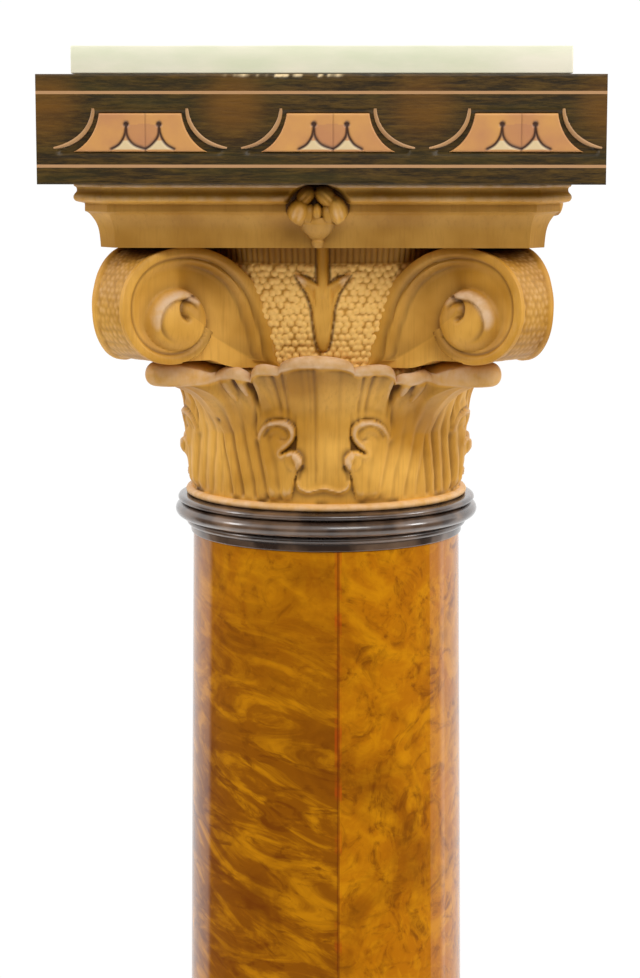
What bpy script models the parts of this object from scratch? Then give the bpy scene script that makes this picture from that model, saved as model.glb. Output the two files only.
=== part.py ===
"""Column pedestal in veneered and carved wood, with a square top board and a stone slab.

A square plinth carries a round tapering shaft. A black neck ring carries a carved capital with
eight leaves and four corner scrolls, then a moulded abacus with four flowers, the top board with
its carved frieze, and the slab. The origin is on the floor under the middle, +Z is up and -Y is
the front. Lengths are in metres and angles in degrees.
"""

import math
from collections import namedtuple

import bmesh
import bpy
from mathutils import Matrix, Vector

# Stacked and fitted pieces keep this gap
JOINT_GAP = 0.0003
SCROLL_BACK_GAP = 0.0009
# How far a cutter reaches past what it cuts
CUTTER_MARGIN = 0.004

# Foot board and plinth
FOOT_WIDTH = 0.316
FOOT_HEIGHT = 0.036
FOOT_CHAMFER = 0.004
PLINTH_SETBACK = 0.016
PLINTH_WIDTH = FOOT_WIDTH - 2 * PLINTH_SETBACK
PLINTH_HEIGHT = 0.112

# Turned base moulding under the shaft
BASE_HEIGHT = 0.052
BASE_TORUS_OVERHANG = 0.024
BASE_BEAD_OVERHANG = 0.008

# Shaft
SHAFT_LENGTH = 0.6248
SHAFT_FOOT_RADIUS = 0.0895
SHAFT_NECK_RADIUS = 0.0833
SHAFT_SWELL = 0.0006

# Turned neck ring over the shaft
NECK_RING_HEIGHT = 0.0242
NECK_TORUS_MIDDLE = 0.585
NECK_TORUS_OVERHANG = 0.0110
NECK_TORUS_RADIUS = 0.0050
NECK_UPPER_BEAD_OVERHANG = 0.0094
NECK_UPPER_BEAD_RISE = 0.0028
NECK_LOWER_BEAD_OVERHANG = 0.0042

# Carved capital
CAPITAL_HEIGHT = 0.1585
CAPITAL_FILLET = 0.004
CAPITAL_FILLET_OVERHANG = 0.0034
LEAF_ROOT_OUTSET = 0.001
BELL_TOP_RADIUS = 0.104
BELL_FLARE = 1.6
CORNER_LEAF_SETBACK = 0.030
LEAF_SWELL = 0.0015
LEAF_UNDERCUT = 0.0016
LEAF_FLUTE_DEPTH = 0.0016
LEAF_RIB_HEIGHT = 0.0010
SIDE_LEAF_RISE = 0.0030
STEM_WIDTH = 0.0062
STEM_HEIGHT = 0.0022
PENDANT_WIDTH = 0.0290
PENDANT_RISE = 0.0030
PENDANT_FOOT = 0.612
PENDANT_TOP = 0.890

# Corner scrolls
SCROLL_EDGE_WIDTH = 0.027
SCROLL_OVERHANG = 0.0010
SCROLL_FACE_ANGLE = 15.27
SCROLL_RIM = 0.0045
SCROLL_HOLLOW = 0.0045
SCROLL_BOSS_RADIUS = 0.0172
SCROLL_BOSS_RISE = 0.0055
SCROLL_CHANNEL_DEPTH = 0.0012
SCROLL_CHANNEL_BORDER = 0.0060

# Moulded abacus, square with cut corners
ABACUS_HEIGHT = 0.0365
ABACUS_WIDTH = 0.283
ABACUS_STEP = 0.0147
ABACUS_CORNER_CUT = 0.0177

# Flowers on the abacus
FLOWER_WIDTH = 0.0412
FLOWER_HEIGHT = 0.0268
FLOWER_PETALS = 4
FLOWER_REACH = 0.0045
FLOWER_MIDDLE = 0.640
CALYX_WIDTH = 0.0200

# Top board with its frieze
BOARD_OVERHANG = 0.0165
BOARD_WIDTH = ABACUS_WIDTH + 2 * BOARD_OVERHANG
BOARD_HEIGHT = 0.0605
BOARD_CHAMFER = 0.0010
LINE_INSET = 0.0101
LINE_WIDTH = 0.0018
LINE_DEPTH = 0.0008
FIELD_COUNT = 3
FIELD_MARGIN = 0.0022
FIELD_PITCH = (BOARD_WIDTH - 2 * FIELD_MARGIN) / FIELD_COUNT
FIELD_SHIFT = 0.0040
FIELD_TOP = 0.0110
FIELD_FOOT = 0.0124
FIELD_DEPTH = 0.0016
EGG_HALF_WIDTH = 0.0264
EGG_DEPTH = 0.0237
EGG_TOP = 0.0126

# Stone slab
SLAB_SETBACK = 0.018
SLAB_WIDTH = BOARD_WIDTH - 2 * SLAB_SETBACK
SLAB_HEIGHT = 0.016
SLAB_CHAMFER = 0.0010

# Facets round the turned pieces
TURNED_SIDES = 36

# Levels worked out from the heights above
PLINTH_Z = FOOT_HEIGHT + JOINT_GAP
BASE_Z = PLINTH_Z + PLINTH_HEIGHT + JOINT_GAP
SHAFT_Z = BASE_Z + BASE_HEIGHT + JOINT_GAP
NECK_Z = SHAFT_Z + SHAFT_LENGTH + JOINT_GAP
CAPITAL_Z = NECK_Z + NECK_RING_HEIGHT + JOINT_GAP
ABACUS_Z = CAPITAL_Z + CAPITAL_HEIGHT + JOINT_GAP
BOARD_Z = ABACUS_Z + ABACUS_HEIGHT + JOINT_GAP
SLAB_Z = BOARD_Z + BOARD_HEIGHT + JOINT_GAP

# One edge of a leaf: its height as a share of the capital, its reach as a share of the way from
# the neck to the leaf's furthest tip, the radius of its rolled edge, the angles where the roll
# starts and ends, and the depth of the pocket behind it
Lip = namedtuple("Lip", "height reach roll start end pocket")

FRONT_TIP = Lip(0.603, 0.395, 0.0032, -25, 180, 0.0045)
FRONT_SIDE = Lip(0.570, 0.325, 0.0030, -25, 180, 0.0035)
CORNER_SIDE = Lip(0.562, 0.350, 0.0030, -25, 170, 0.0035)
CORNER_TIP = Lip(0.571, 1.000, 0.0074, -90, 95, 0.0005)
FRONT_NOTCH = Lip(0.560, 0.290, 0.0026, -20, 180, 0.0025)
LEAF_GAP = Lip(0.513, 0.200, 0.0022, -10, 180, 0.0010)
CORNER_NOTCH = Lip(0.540, 0.400, 0.0028, -30, 150, 0.0020)

# The leaf leaves the upright at this share of the capital's height, with a lean and a rise that
# are shares of its reach and of the capital's height, and hooks over at its edge
FLARE_START = 0.28
FLARE_LEAN = 0.28
FLARE_RISE = 0.165
SHORT_HOOK = 0.010
LONG_HOOK = 0.022
LONG_HOOK_REACH = 0.050

# The lobes from the front of the capital to its corner, each between two angles
Lobe = namedtuple("Lobe", "start end peak before after")

LOBES = (
    Lobe(-13.0, 13.0, FRONT_TIP, FRONT_NOTCH, FRONT_NOTCH),
    Lobe(13.0, 25.2, FRONT_SIDE, FRONT_NOTCH, LEAF_GAP),
    Lobe(25.2, 36.5, CORNER_SIDE, LEAF_GAP, CORNER_NOTCH),
    Lobe(36.5, 53.5, CORNER_TIP, CORNER_NOTCH, CORNER_NOTCH),
)

# The flutes of each lobe: the angles of its middle and of half its width
Flute = namedtuple("Flute", "end middle half")

FLUTES = (
    Flute(13.0, 7.5, 5.5),
    Flute(25.2, 19.0, 5.5),
    Flute(36.5, 30.5, 4.5),
    Flute(45.0, 41.0, 3.5),
)

# The upper and the lower curl beside each front leaf: angle, share of the capital's height, half
# its width as an angle, half its height as a share, and how far it stands out
Curl = namedtuple("Curl", "angle share wide tall rise")

CURLS = (Curl(13.5, 0.305, 5.2, 0.055, 0.0042), Curl(11.0, 0.205, 3.6, 0.036, 0.0034))

# Radius of the scroll's outer edge about its eye, as shares of the scroll's height, from the
# foot of its stem over the top and round to where it meets the boss, with a smooth curve between
SCROLL_TURN = (
    (-25, 0.900), (0, 0.745), (45, 0.636), (90, 0.583), (135, 0.584), (180, 0.530), (225, 0.494),
    (270, 0.378), (315, 0.298), (365, 0.262),
)
SCROLL_SEGMENTS = 18
SCROLL_CORE_END = 250
SCROLL_EYE_SHARE = 0.414


def clear_scene():
    for old in list(bpy.data.objects):
        bpy.data.objects.remove(old, do_unlink=True)


def finish_material(name, colour, roughness):
    material = bpy.data.materials.new(name)
    material.use_nodes = True
    shader = material.node_tree.nodes["Principled BSDF"]
    shader.inputs["Base Color"].default_value = (*colour, 1.0)
    shader.inputs["Roughness"].default_value = roughness
    shader.inputs["Metallic"].default_value = 0.0
    return material


def new_object(name, mesh, material, smooth_angle=35):
    piece = bpy.data.objects.new(name, mesh)
    bpy.context.scene.collection.objects.link(piece)
    if not mesh.materials:
        mesh.materials.append(material)
    mesh.shade_smooth()
    mesh.set_sharp_from_angle(angle=math.radians(smooth_angle))
    return piece


def mesh_from(name, builder):
    """Fills a bmesh with builder, turns its faces outwards and returns it as a mesh."""
    bm = bmesh.new()
    builder(bm)
    bmesh.ops.recalc_face_normals(bm, faces=bm.faces)
    mesh = bpy.data.meshes.new(name)
    bm.to_mesh(mesh)
    bm.free()
    return mesh


def skin(bm, loops, middles=None):
    """Joins closed loops of equal length one after another.

    Each end is one face, or a fan round a middle point where middles gives both points.
    """
    rows = [[bm.verts.new(point) for point in loop] for loop in loops]
    count = len(rows[0])
    for lower, upper in zip(rows, rows[1:]):
        for i in range(count):
            j = (i + 1) % count
            bm.faces.new((lower[i], lower[j], upper[j], upper[i]))
    if middles is None:
        bm.faces.new(rows[0][::-1])
        bm.faces.new(rows[-1])
        return
    for row, point in zip((rows[0], rows[-1]), middles):
        middle = bm.verts.new(point)
        for i in range(count):
            bm.faces.new((row[i], row[(i + 1) % count], middle))


def turned_mesh(name, profile, sides=TURNED_SIDES):
    """Spins a profile of (radius, height), from the foot up, round the Z axis."""

    def build(bm):
        verts = [bm.verts.new((radius, 0, height)) for radius, height in profile]
        edges = [bm.edges.new(pair) for pair in zip(verts, verts[1:])]
        bmesh.ops.spin(
            bm, geom=verts + edges, cent=(0, 0, 0), axis=(0, 0, 1), angle=math.tau,
            steps=sides, use_merge=True, use_duplicate=False,
        )
        bmesh.ops.remove_doubles(bm, verts=bm.verts, dist=1e-6)
        rims = [edge for edge in bm.edges if edge.is_boundary]
        bmesh.ops.edgeloop_fill(bm, edges=rims)

    return mesh_from(name, build)


def bulge(inner_radius, foot, top, overhang, steps):
    """Points of a half round that stands out of inner_radius between two heights."""
    middle, half = (foot + top) / 2, (top - foot) / 2
    points = []
    for k in range(steps + 1):
        angle = math.radians(-90 + 180 * k / steps)
        points.append((inner_radius + overhang * math.cos(angle), middle + half * math.sin(angle)))
    return points


def square_loop(half, height):
    corners = ((1, -1), (1, 1), (-1, 1), (-1, -1))
    return [(half * x, half * y, height) for x, y in corners]


def cut_corner_loop(half, diagonal, height):
    """A square of half width half, whose corners are cut at distance diagonal from the middle."""
    short = math.sqrt(2) * diagonal - half
    quarter = [(half, -short), (half, short)]
    points = []
    for k in range(4):
        turn = Matrix.Rotation(math.radians(90 * k), 2)
        points += [turn @ Vector(point) for point in quarter]
    return [(point.x, point.y, height) for point in points]


def foot_board(material):
    half = FOOT_WIDTH / 2
    top = FOOT_HEIGHT
    loops = [
        square_loop(half, 0),
        square_loop(half, top - FOOT_CHAMFER),
        square_loop(half - FOOT_CHAMFER, top),
    ]
    return new_object("foot_board", mesh_from("foot_board", lambda bm: skin(bm, loops)), material)


def plinth_block(material):
    half = PLINTH_WIDTH / 2
    loops = [square_loop(half, PLINTH_Z), square_loop(half, PLINTH_Z + PLINTH_HEIGHT)]
    mesh = mesh_from("plinth_block", lambda bm: skin(bm, loops))
    return new_object("plinth_block", mesh, material)


def base_moulding(material):
    torus_top = 0.50 * BASE_HEIGHT
    fillet_top = 0.58 * BASE_HEIGHT
    scotia_top = 0.76 * BASE_HEIGHT
    radius = SHAFT_FOOT_RADIUS
    profile = [(0, 0)]
    profile += bulge(radius + BASE_TORUS_OVERHANG / 2, 0, torus_top, BASE_TORUS_OVERHANG / 2, 5)
    profile += [
        (radius + 0.45 * BASE_TORUS_OVERHANG, fillet_top),
        (radius + 0.18 * BASE_TORUS_OVERHANG, (fillet_top + scotia_top) / 2),
        (radius + 0.20 * BASE_TORUS_OVERHANG, scotia_top),
    ]
    profile += bulge(radius, scotia_top, BASE_HEIGHT, BASE_BEAD_OVERHANG, 3)[1:]
    profile.append((0, BASE_HEIGHT))
    piece = new_object("base_moulding", turned_mesh("base_moulding", profile), material)
    piece.location.z = BASE_Z
    return piece


def shaft(material):
    """The shaft narrows towards the neck, with a slight swell at mid height."""
    steps = 4
    profile = [(0, 0)]
    for k in range(steps + 1):
        t = k / steps
        radius = SHAFT_FOOT_RADIUS + t * (SHAFT_NECK_RADIUS - SHAFT_FOOT_RADIUS)
        profile.append((radius + SHAFT_SWELL * math.sin(math.pi * t), t * SHAFT_LENGTH))
    profile.append((0, SHAFT_LENGTH))
    piece = new_object("shaft", turned_mesh("shaft", profile), material)
    piece.location.z = SHAFT_Z
    return piece


def neck_ring(material):
    """From the foot: a low bead, the main torus and an upper bead, then a flat top."""
    radius = SHAFT_NECK_RADIUS
    torus_middle = NECK_TORUS_MIDDLE * NECK_RING_HEIGHT
    torus_foot = torus_middle - NECK_TORUS_RADIUS
    torus_top = torus_middle + NECK_TORUS_RADIUS
    torus_root = radius + NECK_TORUS_OVERHANG - NECK_TORUS_RADIUS
    bead_root = radius + NECK_UPPER_BEAD_OVERHANG - NECK_UPPER_BEAD_RISE
    profile = [(0, 0)]
    profile += bulge(radius, 0, torus_foot, NECK_LOWER_BEAD_OVERHANG, 3)[1:]
    profile += bulge(torus_root, torus_foot, torus_top, NECK_TORUS_RADIUS, 4)[1:]
    profile += bulge(bead_root, torus_top, NECK_RING_HEIGHT, NECK_UPPER_BEAD_RISE, 3)[1:]
    profile.append((0, NECK_RING_HEIGHT))
    piece = new_object("neck_ring", turned_mesh("neck_ring", profile), material)
    piece.location.z = NECK_Z
    return piece


def mix(low, high, share):
    return low + (high - low) * share


def mix_lips(low, high, share):
    return Lip(*(mix(a, b, share) for a, b in zip(low, high)))


def lip_at(angle):
    """The leaf edge at an angle from the nearest front, right, back or left of the capital."""
    angle = abs(angle)
    lobe = next(found for found in LOBES if angle <= found.end)
    along = (angle - lobe.start) / (lobe.end - lobe.start)
    arch = math.sqrt(max(0.0, 1 - (2 * along - 1) ** 2))
    return mix_lips(mix_lips(lobe.before, lobe.after, along), lobe.peak, arch)


def abacus_diagonal(half):
    """Distance from the middle to the cut corner, where the abacus has this half width."""
    top_half = ABACUS_WIDTH / 2
    return math.sqrt(2) * top_half - ABACUS_CORNER_CUT / math.sqrt(2) - (top_half - half)


SCROLL_REACH = abacus_diagonal(ABACUS_WIDTH / 2 - ABACUS_STEP) + SCROLL_OVERHANG
LEAF_REACH = SCROLL_REACH - CORNER_LEAF_SETBACK
SCROLL_FOOT = CORNER_TIP.height * CAPITAL_HEIGHT + JOINT_GAP
SCROLL_HEIGHT = CAPITAL_HEIGHT - JOINT_GAP - SCROLL_FOOT
SCROLL_EYE_Z = SCROLL_FOOT + SCROLL_EYE_SHARE * SCROLL_HEIGHT
SCROLL_EYE_D = SCROLL_REACH - dict(SCROLL_TURN)[180] * SCROLL_HEIGHT


def bell_radius(height):
    """The plain bell behind the leaves, which widens towards the abacus."""
    share = height / CAPITAL_HEIGHT
    return mix(SHAFT_NECK_RADIUS + LEAF_ROOT_OUTSET, BELL_TOP_RADIUS, share**BELL_FLARE)


def smooth_step(low, high, value):
    t = min(1.0, max(0.0, (value - low) / (high - low)))
    return t * t * (3 - 2 * t)


def curl_relief(side, share, curl):
    across = (side - curl.angle) / curl.wide
    up = (share - curl.share) / curl.tall
    return curl.rise * math.sqrt(max(0.0, 1 - across * across - up * up))


def leaf_relief(angle, share):
    """How far the carving stands out of the leaf face, at a share of the capital's height."""
    side = abs(angle)
    flute = next(found for found in FLUTES if side <= found.end)
    across = (side - flute.middle) / flute.half
    relief = LEAF_RIB_HEIGHT if side < 1.0 else 0.0
    relief -= LEAF_FLUTE_DEPTH * max(0.0, 1 - across * across) * smooth_step(0.03, 0.15, share)
    side_leaf = smooth_step(9.0, 11.5, side) * (1 - smooth_step(24.0, 26.5, side))
    side_leaf *= smooth_step(0.03, 0.08, share) * (1 - smooth_step(0.30, 0.36, share))
    relief += SIDE_LEAF_RISE * side_leaf
    return relief + sum(curl_relief(side, share, curl) for curl in CURLS)


def ornament_relief(angle, height):
    """The stem and the pendant leaf on the bell, in the middle of each side."""
    side = abs(math.radians(angle)) * bell_radius(height)
    share = height / CAPITAL_HEIGHT
    if share > PENDANT_TOP + 0.001:
        return STEM_HEIGHT if side < 1.01 * STEM_WIDTH / 2 else 0.0
    if share < PENDANT_FOOT:
        return 0.0
    spread = ((share - PENDANT_FOOT) / (PENDANT_TOP - PENDANT_FOOT)) ** 1.7
    half = mix(STEM_WIDTH / 2, PENDANT_WIDTH / 2, spread)
    return PENDANT_RISE if side < 1.02 * half else 0.0


def bezier(a, b, c, d, t):
    s = 1 - t
    return s**3 * a + 3 * s * s * t * b + 3 * s * t * t * c + t**3 * d


def leaf_column(angle):
    """One upright section of the capital, from its foot up, as (radius, height) points."""
    lip = lip_at(angle)
    root = SHAFT_NECK_RADIUS + LEAF_ROOT_OUTSET
    reach = mix(root, LEAF_REACH, lip.reach)
    top = lip.height * CAPITAL_HEIGHT
    centre = Vector((reach - lip.roll, top - lip.roll))
    start = math.radians(lip.start)
    touch = centre + lip.roll * Vector((math.cos(start), math.sin(start)))
    run = Vector((-math.sin(start), math.cos(start)))
    flare_foot = Vector((root + LEAF_SWELL, FLARE_START * CAPITAL_HEIGHT))
    spread = touch.x - flare_foot.x
    handles = (
        flare_foot,
        flare_foot + Vector((FLARE_LEAN * spread, FLARE_RISE * CAPITAL_HEIGHT)),
        touch - run * mix(SHORT_HOOK, LONG_HOOK, min(1.0, spread / LONG_HOOK_REACH)),
        touch,
    )
    rim = root + CAPITAL_FILLET_OVERHANG
    column = [(rim, 0.0), (rim, CAPITAL_FILLET)]
    column.append((root - LEAF_UNDERCUT, CAPITAL_FILLET + LEAF_UNDERCUT / 2))
    for share in (0.050, 0.135, 0.220):
        swell = LEAF_SWELL * share / FLARE_START
        column.append((root + swell + leaf_relief(angle, share), share * CAPITAL_HEIGHT))
    for t in (0.0, 0.25, 0.5, 0.75, 1.0):
        point = bezier(*handles, t)
        fade = 1 - smooth_step(0.75, 1.0, t)
        relief = leaf_relief(angle, point.y / CAPITAL_HEIGHT) * fade
        column.append((point.x + relief, point.y))
    for k in range(1, 4):
        turn = math.radians(mix(lip.start, lip.end, k / 3))
        point = centre + lip.roll * Vector((math.cos(turn), math.sin(turn)))
        column.append((point.x, point.y))
    pocket = column[-1][1] - lip.pocket
    column.append((bell_radius(pocket), pocket))
    for share in (0.66, 0.76, PENDANT_TOP, PENDANT_TOP + 0.012, 1.0):
        height = share * CAPITAL_HEIGHT
        column.append((bell_radius(height) + ornament_relief(angle, height), height))
    return column


def capital_bell(material):
    """The bell and its eight leaves, carved from one block."""
    half_quarter = (0, 1.7, 2.5, 4.6, 8.0, 8.8, 13, 18.5, 25.2, 30.5, 36.5, 38.2, 41.0)
    angles = [-a for a in (45, *reversed(half_quarter[1:]))] + list(half_quarter)
    columns = []
    for quarter in range(4):
        for angle in angles:
            columns.append((90 * quarter - 90 + angle, leaf_column(angle)))
    loops = []
    for level in range(len(columns[0][1])):
        loop = []
        for turn, column in columns:
            radius, height = column[level]
            turn = math.radians(turn)
            loop.append((radius * math.cos(turn), radius * math.sin(turn), height))
        loops.append(loop)
    middles = ((0, 0, 0), (0, 0, CAPITAL_HEIGHT))
    mesh = mesh_from("capital_bell", lambda bm: skin(bm, loops, middles))
    piece = new_object("capital_bell", mesh, material, smooth_angle=50)
    piece.location.z = CAPITAL_Z
    return piece


def smooth_curve(points, x):
    """Height at x of a smooth curve through points, with a level slope given by their neighbours."""
    k = 0
    while k < len(points) - 2 and x > points[k + 1][0]:
        k += 1
    (x0, y0), (x1, y1) = points[k], points[k + 1]
    before, after = points[max(k - 1, 0)], points[min(k + 2, len(points) - 1)]
    slope0 = (y1 - before[1]) / (x1 - before[0])
    slope1 = (after[1] - y0) / (after[0] - x0)
    span = x1 - x0
    third = span / 3
    return bezier(y0, y0 + slope0 * third, y1 - slope1 * third, y1, (x - x0) / span)


def scroll_angles():
    """Angles about the eye from the foot of the stem to the end of the turn."""
    start, end = SCROLL_TURN[0][0], SCROLL_TURN[-1][0]
    return [mix(start, end, k / SCROLL_SEGMENTS) for k in range(SCROLL_SEGMENTS + 1)]


def scroll_radius(angle):
    """Radius of the scroll's outer edge about its eye."""
    return SCROLL_HEIGHT * smooth_curve(SCROLL_TURN, angle)


def scroll_point(radius, angle, side, lift=0.0):
    """A point on a scroll's face: d runs out along the corner, t across it, z up."""
    angle = math.radians(angle)
    d = SCROLL_EYE_D - radius * math.cos(angle)
    z = SCROLL_EYE_Z + radius * math.sin(angle)
    spread = math.tan(math.radians(SCROLL_FACE_ANGLE)) * (SCROLL_REACH - d)
    t = SCROLL_EDGE_WIDTH / 2 + spread + lift
    return Vector((d, side * t, z))


def scroll_core(bm):
    """The thinner plate inside the winding band, down to the leaves."""
    outline = [
        (angle, scroll_radius(angle) - SCROLL_RIM / 2)
        for angle in scroll_angles()
        if angle <= SCROLL_CORE_END
    ]
    drop = SCROLL_EYE_Z - SCROLL_FOOT - SCROLL_RIM / 4
    outline += [(angle, drop / -math.sin(math.radians(angle))) for angle in (270, 300)]
    loops = []
    for side in (-1, 1):
        loops.append([scroll_point(radius, angle, side, -SCROLL_HOLLOW) for angle, radius in outline])
    skin(bm, loops)


def scroll_band(bm):
    """The band that winds round the edge, with a shallow channel along its outer face."""
    loops = []
    for angle in scroll_angles():
        radius = scroll_radius(angle)
        outer = [scroll_point(radius, angle, side) for side in (-1, 1)]
        inner = [scroll_point(radius - SCROLL_RIM, angle, side) for side in (1, -1)]
        sunk = [scroll_point(radius - SCROLL_CHANNEL_DEPTH, angle, side) for side in (-1, 1)]
        border = Vector((0, SCROLL_CHANNEL_BORDER, 0))
        channel = [outer[0] + border, sunk[0] + border, sunk[1] - border, outer[1] - border]
        loops.append([outer[0], *channel, outer[1], *inner])
    skin(bm, loops)


def scroll_boss(bm):
    """The domed end of the scroll, which stands out of both faces."""
    rings = ((0.50, SCROLL_BOSS_RISE), (0.88, 0.7 * SCROLL_BOSS_RISE), (1.0, 0.0))
    loops = []
    for side, order in ((-1, rings), (1, rings[::-1])):
        for share, lift in order:
            radius = share * SCROLL_BOSS_RADIUS
            loops.append([scroll_point(radius, 36 * k, side, lift) for k in range(10)])
    skin(bm, loops)


def helper_object(name, mesh):
    """An object that only shapes others and isn't a piece itself."""
    helper = bpy.data.objects.new(name, mesh)
    bpy.context.scene.collection.objects.link(helper)
    helper.hide_render = True
    helper.display_type = "WIRE"
    return helper


def boolean(piece, other, operation):
    modifier = piece.modifiers.new(f"{operation.lower()} {other.name}", "BOOLEAN")
    modifier.operation = operation
    modifier.solver = "EXACT"
    modifier.object = other


def bell_cutter():
    """The bell with a gap round it, for the backs of the scrolls."""
    sides, steps = 36, 4
    grow = 1 / math.cos(math.pi / sides)
    foot, top = SCROLL_FOOT - CUTTER_MARGIN, CAPITAL_HEIGHT + CUTTER_MARGIN
    profile = [(0, foot)]
    for k in range(steps + 1):
        height = mix(foot, top, k / steps)
        profile.append(((bell_radius(height) + SCROLL_BACK_GAP) * grow, height))
    profile.append((0, top))
    cutter = helper_object("bell_cutter", turned_mesh("bell_cutter", profile, sides))
    cutter.location.z = CAPITAL_Z
    return cutter


def corner_scrolls(material, cutter):
    """Four scrolls, one at each corner, whose backs fit the bell."""
    core = mesh_from("scroll_core", scroll_core)
    helpers = [mesh_from("scroll_band", scroll_band), mesh_from("scroll_boss", scroll_boss)]
    for k, name in enumerate(("front_left", "front_right", "back_right", "back_left")):
        piece = new_object(f"scroll_{name}", core.copy(), material)
        piece.rotation_euler.z = math.radians(225 + 90 * k)
        piece.location.z = CAPITAL_Z
        for mesh in helpers:
            helper = helper_object(f"{mesh.name}_{name}", mesh)
            helper.rotation_euler = piece.rotation_euler
            helper.location = piece.location
            boolean(piece, helper, "UNION")
        boolean(piece, cutter, "DIFFERENCE")


def abacus_profile():
    """(half width, height) from the foot: upright band, hollow, fillet and quarter round."""
    half, height, step = ABACUS_WIDTH / 2, ABACUS_HEIGHT, ABACUS_STEP
    return [
        (half - step, 0.0),
        (half - 0.95 * step, 0.30 * height),
        (half - 0.86 * step, 0.38 * height),
        (half - 0.70 * step, 0.46 * height),
        (half - 0.50 * step, 0.53 * height),
        (half - 0.50 * step, 0.68 * height),
        (half - 0.30 * step, 0.70 * height),
        (half - 0.10 * step, 0.79 * height),
        (half, 0.92 * height),
        (half, height),
    ]


def abacus_moulding(material):
    loops = [
        cut_corner_loop(half, abacus_diagonal(half), ABACUS_Z + height)
        for half, height in abacus_profile()
    ]
    mesh = mesh_from("abacus_moulding", lambda bm: skin(bm, loops))
    return new_object("abacus_moulding", mesh, material)


def abacus_cutter():
    """The abacus with the joint gap round its sides, for the backs of the flowers."""
    profile = abacus_profile()
    profile[0] = (profile[0][0], -CUTTER_MARGIN)
    profile[-1] = (profile[-1][0], ABACUS_HEIGHT + CUTTER_MARGIN)
    loops = [square_loop(half + JOINT_GAP, ABACUS_Z + height) for half, height in profile]
    return helper_object("abacus_cutter", mesh_from("abacus_cutter", lambda bm: skin(bm, loops)))


def flower_bloom(bm):
    """Round petals about a sunk middle with a bud, as one dished disc that faces the front."""
    steps = 5 * FLOWER_PETALS
    rings = []
    levels = ((0.16, 0.0, 0), (0.36, 0.0052, 0), (0.66, 0.0012, 1), (1.0, 0.0050, 1))
    for share, sink, petal_lift in levels:
        ring = []
        for k in range(steps):
            angle = math.tau * (k + 0.5) / steps
            petal = abs(math.sin(FLOWER_PETALS * angle / 2))
            radius = share * mix(1.0, mix(0.62, 1.0, petal), share)
            x = radius * FLOWER_WIDTH / 2 * math.cos(angle)
            z = radius * FLOWER_HEIGHT / 2 * math.sin(angle)
            ring.append((x, sink - FLOWER_REACH - 0.0020 * petal * petal_lift, z))
        rings.append(ring)
    rings.append([(x, FLOWER_WIDTH / 2, z) for x, y, z in rings[-1]])
    skin(bm, rings)


def flower_calyx(bm):
    """The cup under the petals, which narrows down to the stem."""
    foot = -FLOWER_MIDDLE * ABACUS_HEIGHT
    loops = []
    levels = ((0.97, 0.42, 0.0135), (0.72, 0.66, 0.0120), (0.40, 1.0, 0.0060), (0.10, 0.8, 0.0040))
    for fall, share, stand in levels:
        loop = []
        for k in range(8):
            angle = math.tau * (k + 0.5) / 8
            across, out = math.cos(angle), -math.sin(angle)
            y = FLOWER_WIDTH / 2 if out > 0 else stand + 0.004 * (1 + out)
            loop.append((share * CALYX_WIDTH / 2 * across, y, fall * foot))
        loops.append(loop)
    skin(bm, loops)


def flowers(material, cutter):
    """A flower in the middle of each side of the abacus."""
    bloom = mesh_from("flower_bloom", flower_bloom)
    calyx = mesh_from("flower_calyx", flower_calyx)
    stand = ABACUS_WIDTH / 2
    for k, name in enumerate(("front", "right", "back", "left")):
        turn = math.radians(90 * k)
        middle = ABACUS_Z + FLOWER_MIDDLE * ABACUS_HEIGHT
        place = (stand * math.sin(turn), -stand * math.cos(turn), middle)
        piece = new_object(f"flower_{name}", bloom.copy(), material)
        helper = helper_object(f"calyx_{name}", calyx)
        for part in (piece, helper):
            part.location = place
            part.rotation_euler.z = turn
        boolean(piece, helper, "UNION")
        boolean(piece, cutter, "DIFFERENCE")


def field_outline():
    """The sunk field between two dark eggs, about its own middle, in (x, z) from the board's middle."""
    half_pitch = FIELD_PITCH / 2
    right = []
    for k in range(5):
        angle = math.radians(4 + 76 * k / 4)
        x = half_pitch - EGG_HALF_WIDTH * math.cos(angle)
        z = EGG_TOP - EGG_DEPTH * math.sin(angle)
        if -FIELD_FOOT < z < FIELD_TOP:
            right.append((x, z))
    right[0] = (right[0][0], FIELD_TOP)
    right.append((right[-1][0], -FIELD_FOOT))
    return right + [(-x, z) for x, z in reversed(right)]


def frieze_cutter():
    """Every sunk field of the frieze, on all four sides of the board."""
    outline = field_outline()
    face = BOARD_WIDTH / 2

    def build(bm):
        for quarter in range(4):
            turn = Matrix.Rotation(math.radians(90 * quarter), 3, "Z")
            for k in range(FIELD_COUNT):
                middle = FIELD_SHIFT + FIELD_PITCH * (k - (FIELD_COUNT - 1) / 2)
                loops = []
                for y in (-face - CUTTER_MARGIN, -face + FIELD_DEPTH):
                    loops.append([turn @ Vector((middle + x, y, z)) for x, z in outline])
                skin(bm, loops)

    cutter = helper_object("frieze_cutter", mesh_from("frieze_cutter", build))
    cutter.location.z = BOARD_Z + BOARD_HEIGHT / 2
    return cutter


def top_board(material):
    """A thick board with two scored lines all round and the frieze between them."""
    half = BOARD_WIDTH / 2
    loops = [square_loop(half - BOARD_CHAMFER, 0), square_loop(half, BOARD_CHAMFER)]
    for middle in (LINE_INSET, BOARD_HEIGHT - LINE_INSET):
        loops.append(square_loop(half, middle - LINE_WIDTH / 2))
        loops.append(square_loop(half - LINE_DEPTH, middle))
        loops.append(square_loop(half, middle + LINE_WIDTH / 2))
    loops.append(square_loop(half, BOARD_HEIGHT - BOARD_CHAMFER))
    loops.append(square_loop(half - BOARD_CHAMFER, BOARD_HEIGHT))
    piece = new_object("top_board", mesh_from("top_board", lambda bm: skin(bm, loops)), material)
    piece.location.z = BOARD_Z
    boolean(piece, frieze_cutter(), "DIFFERENCE")
    return piece


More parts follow.
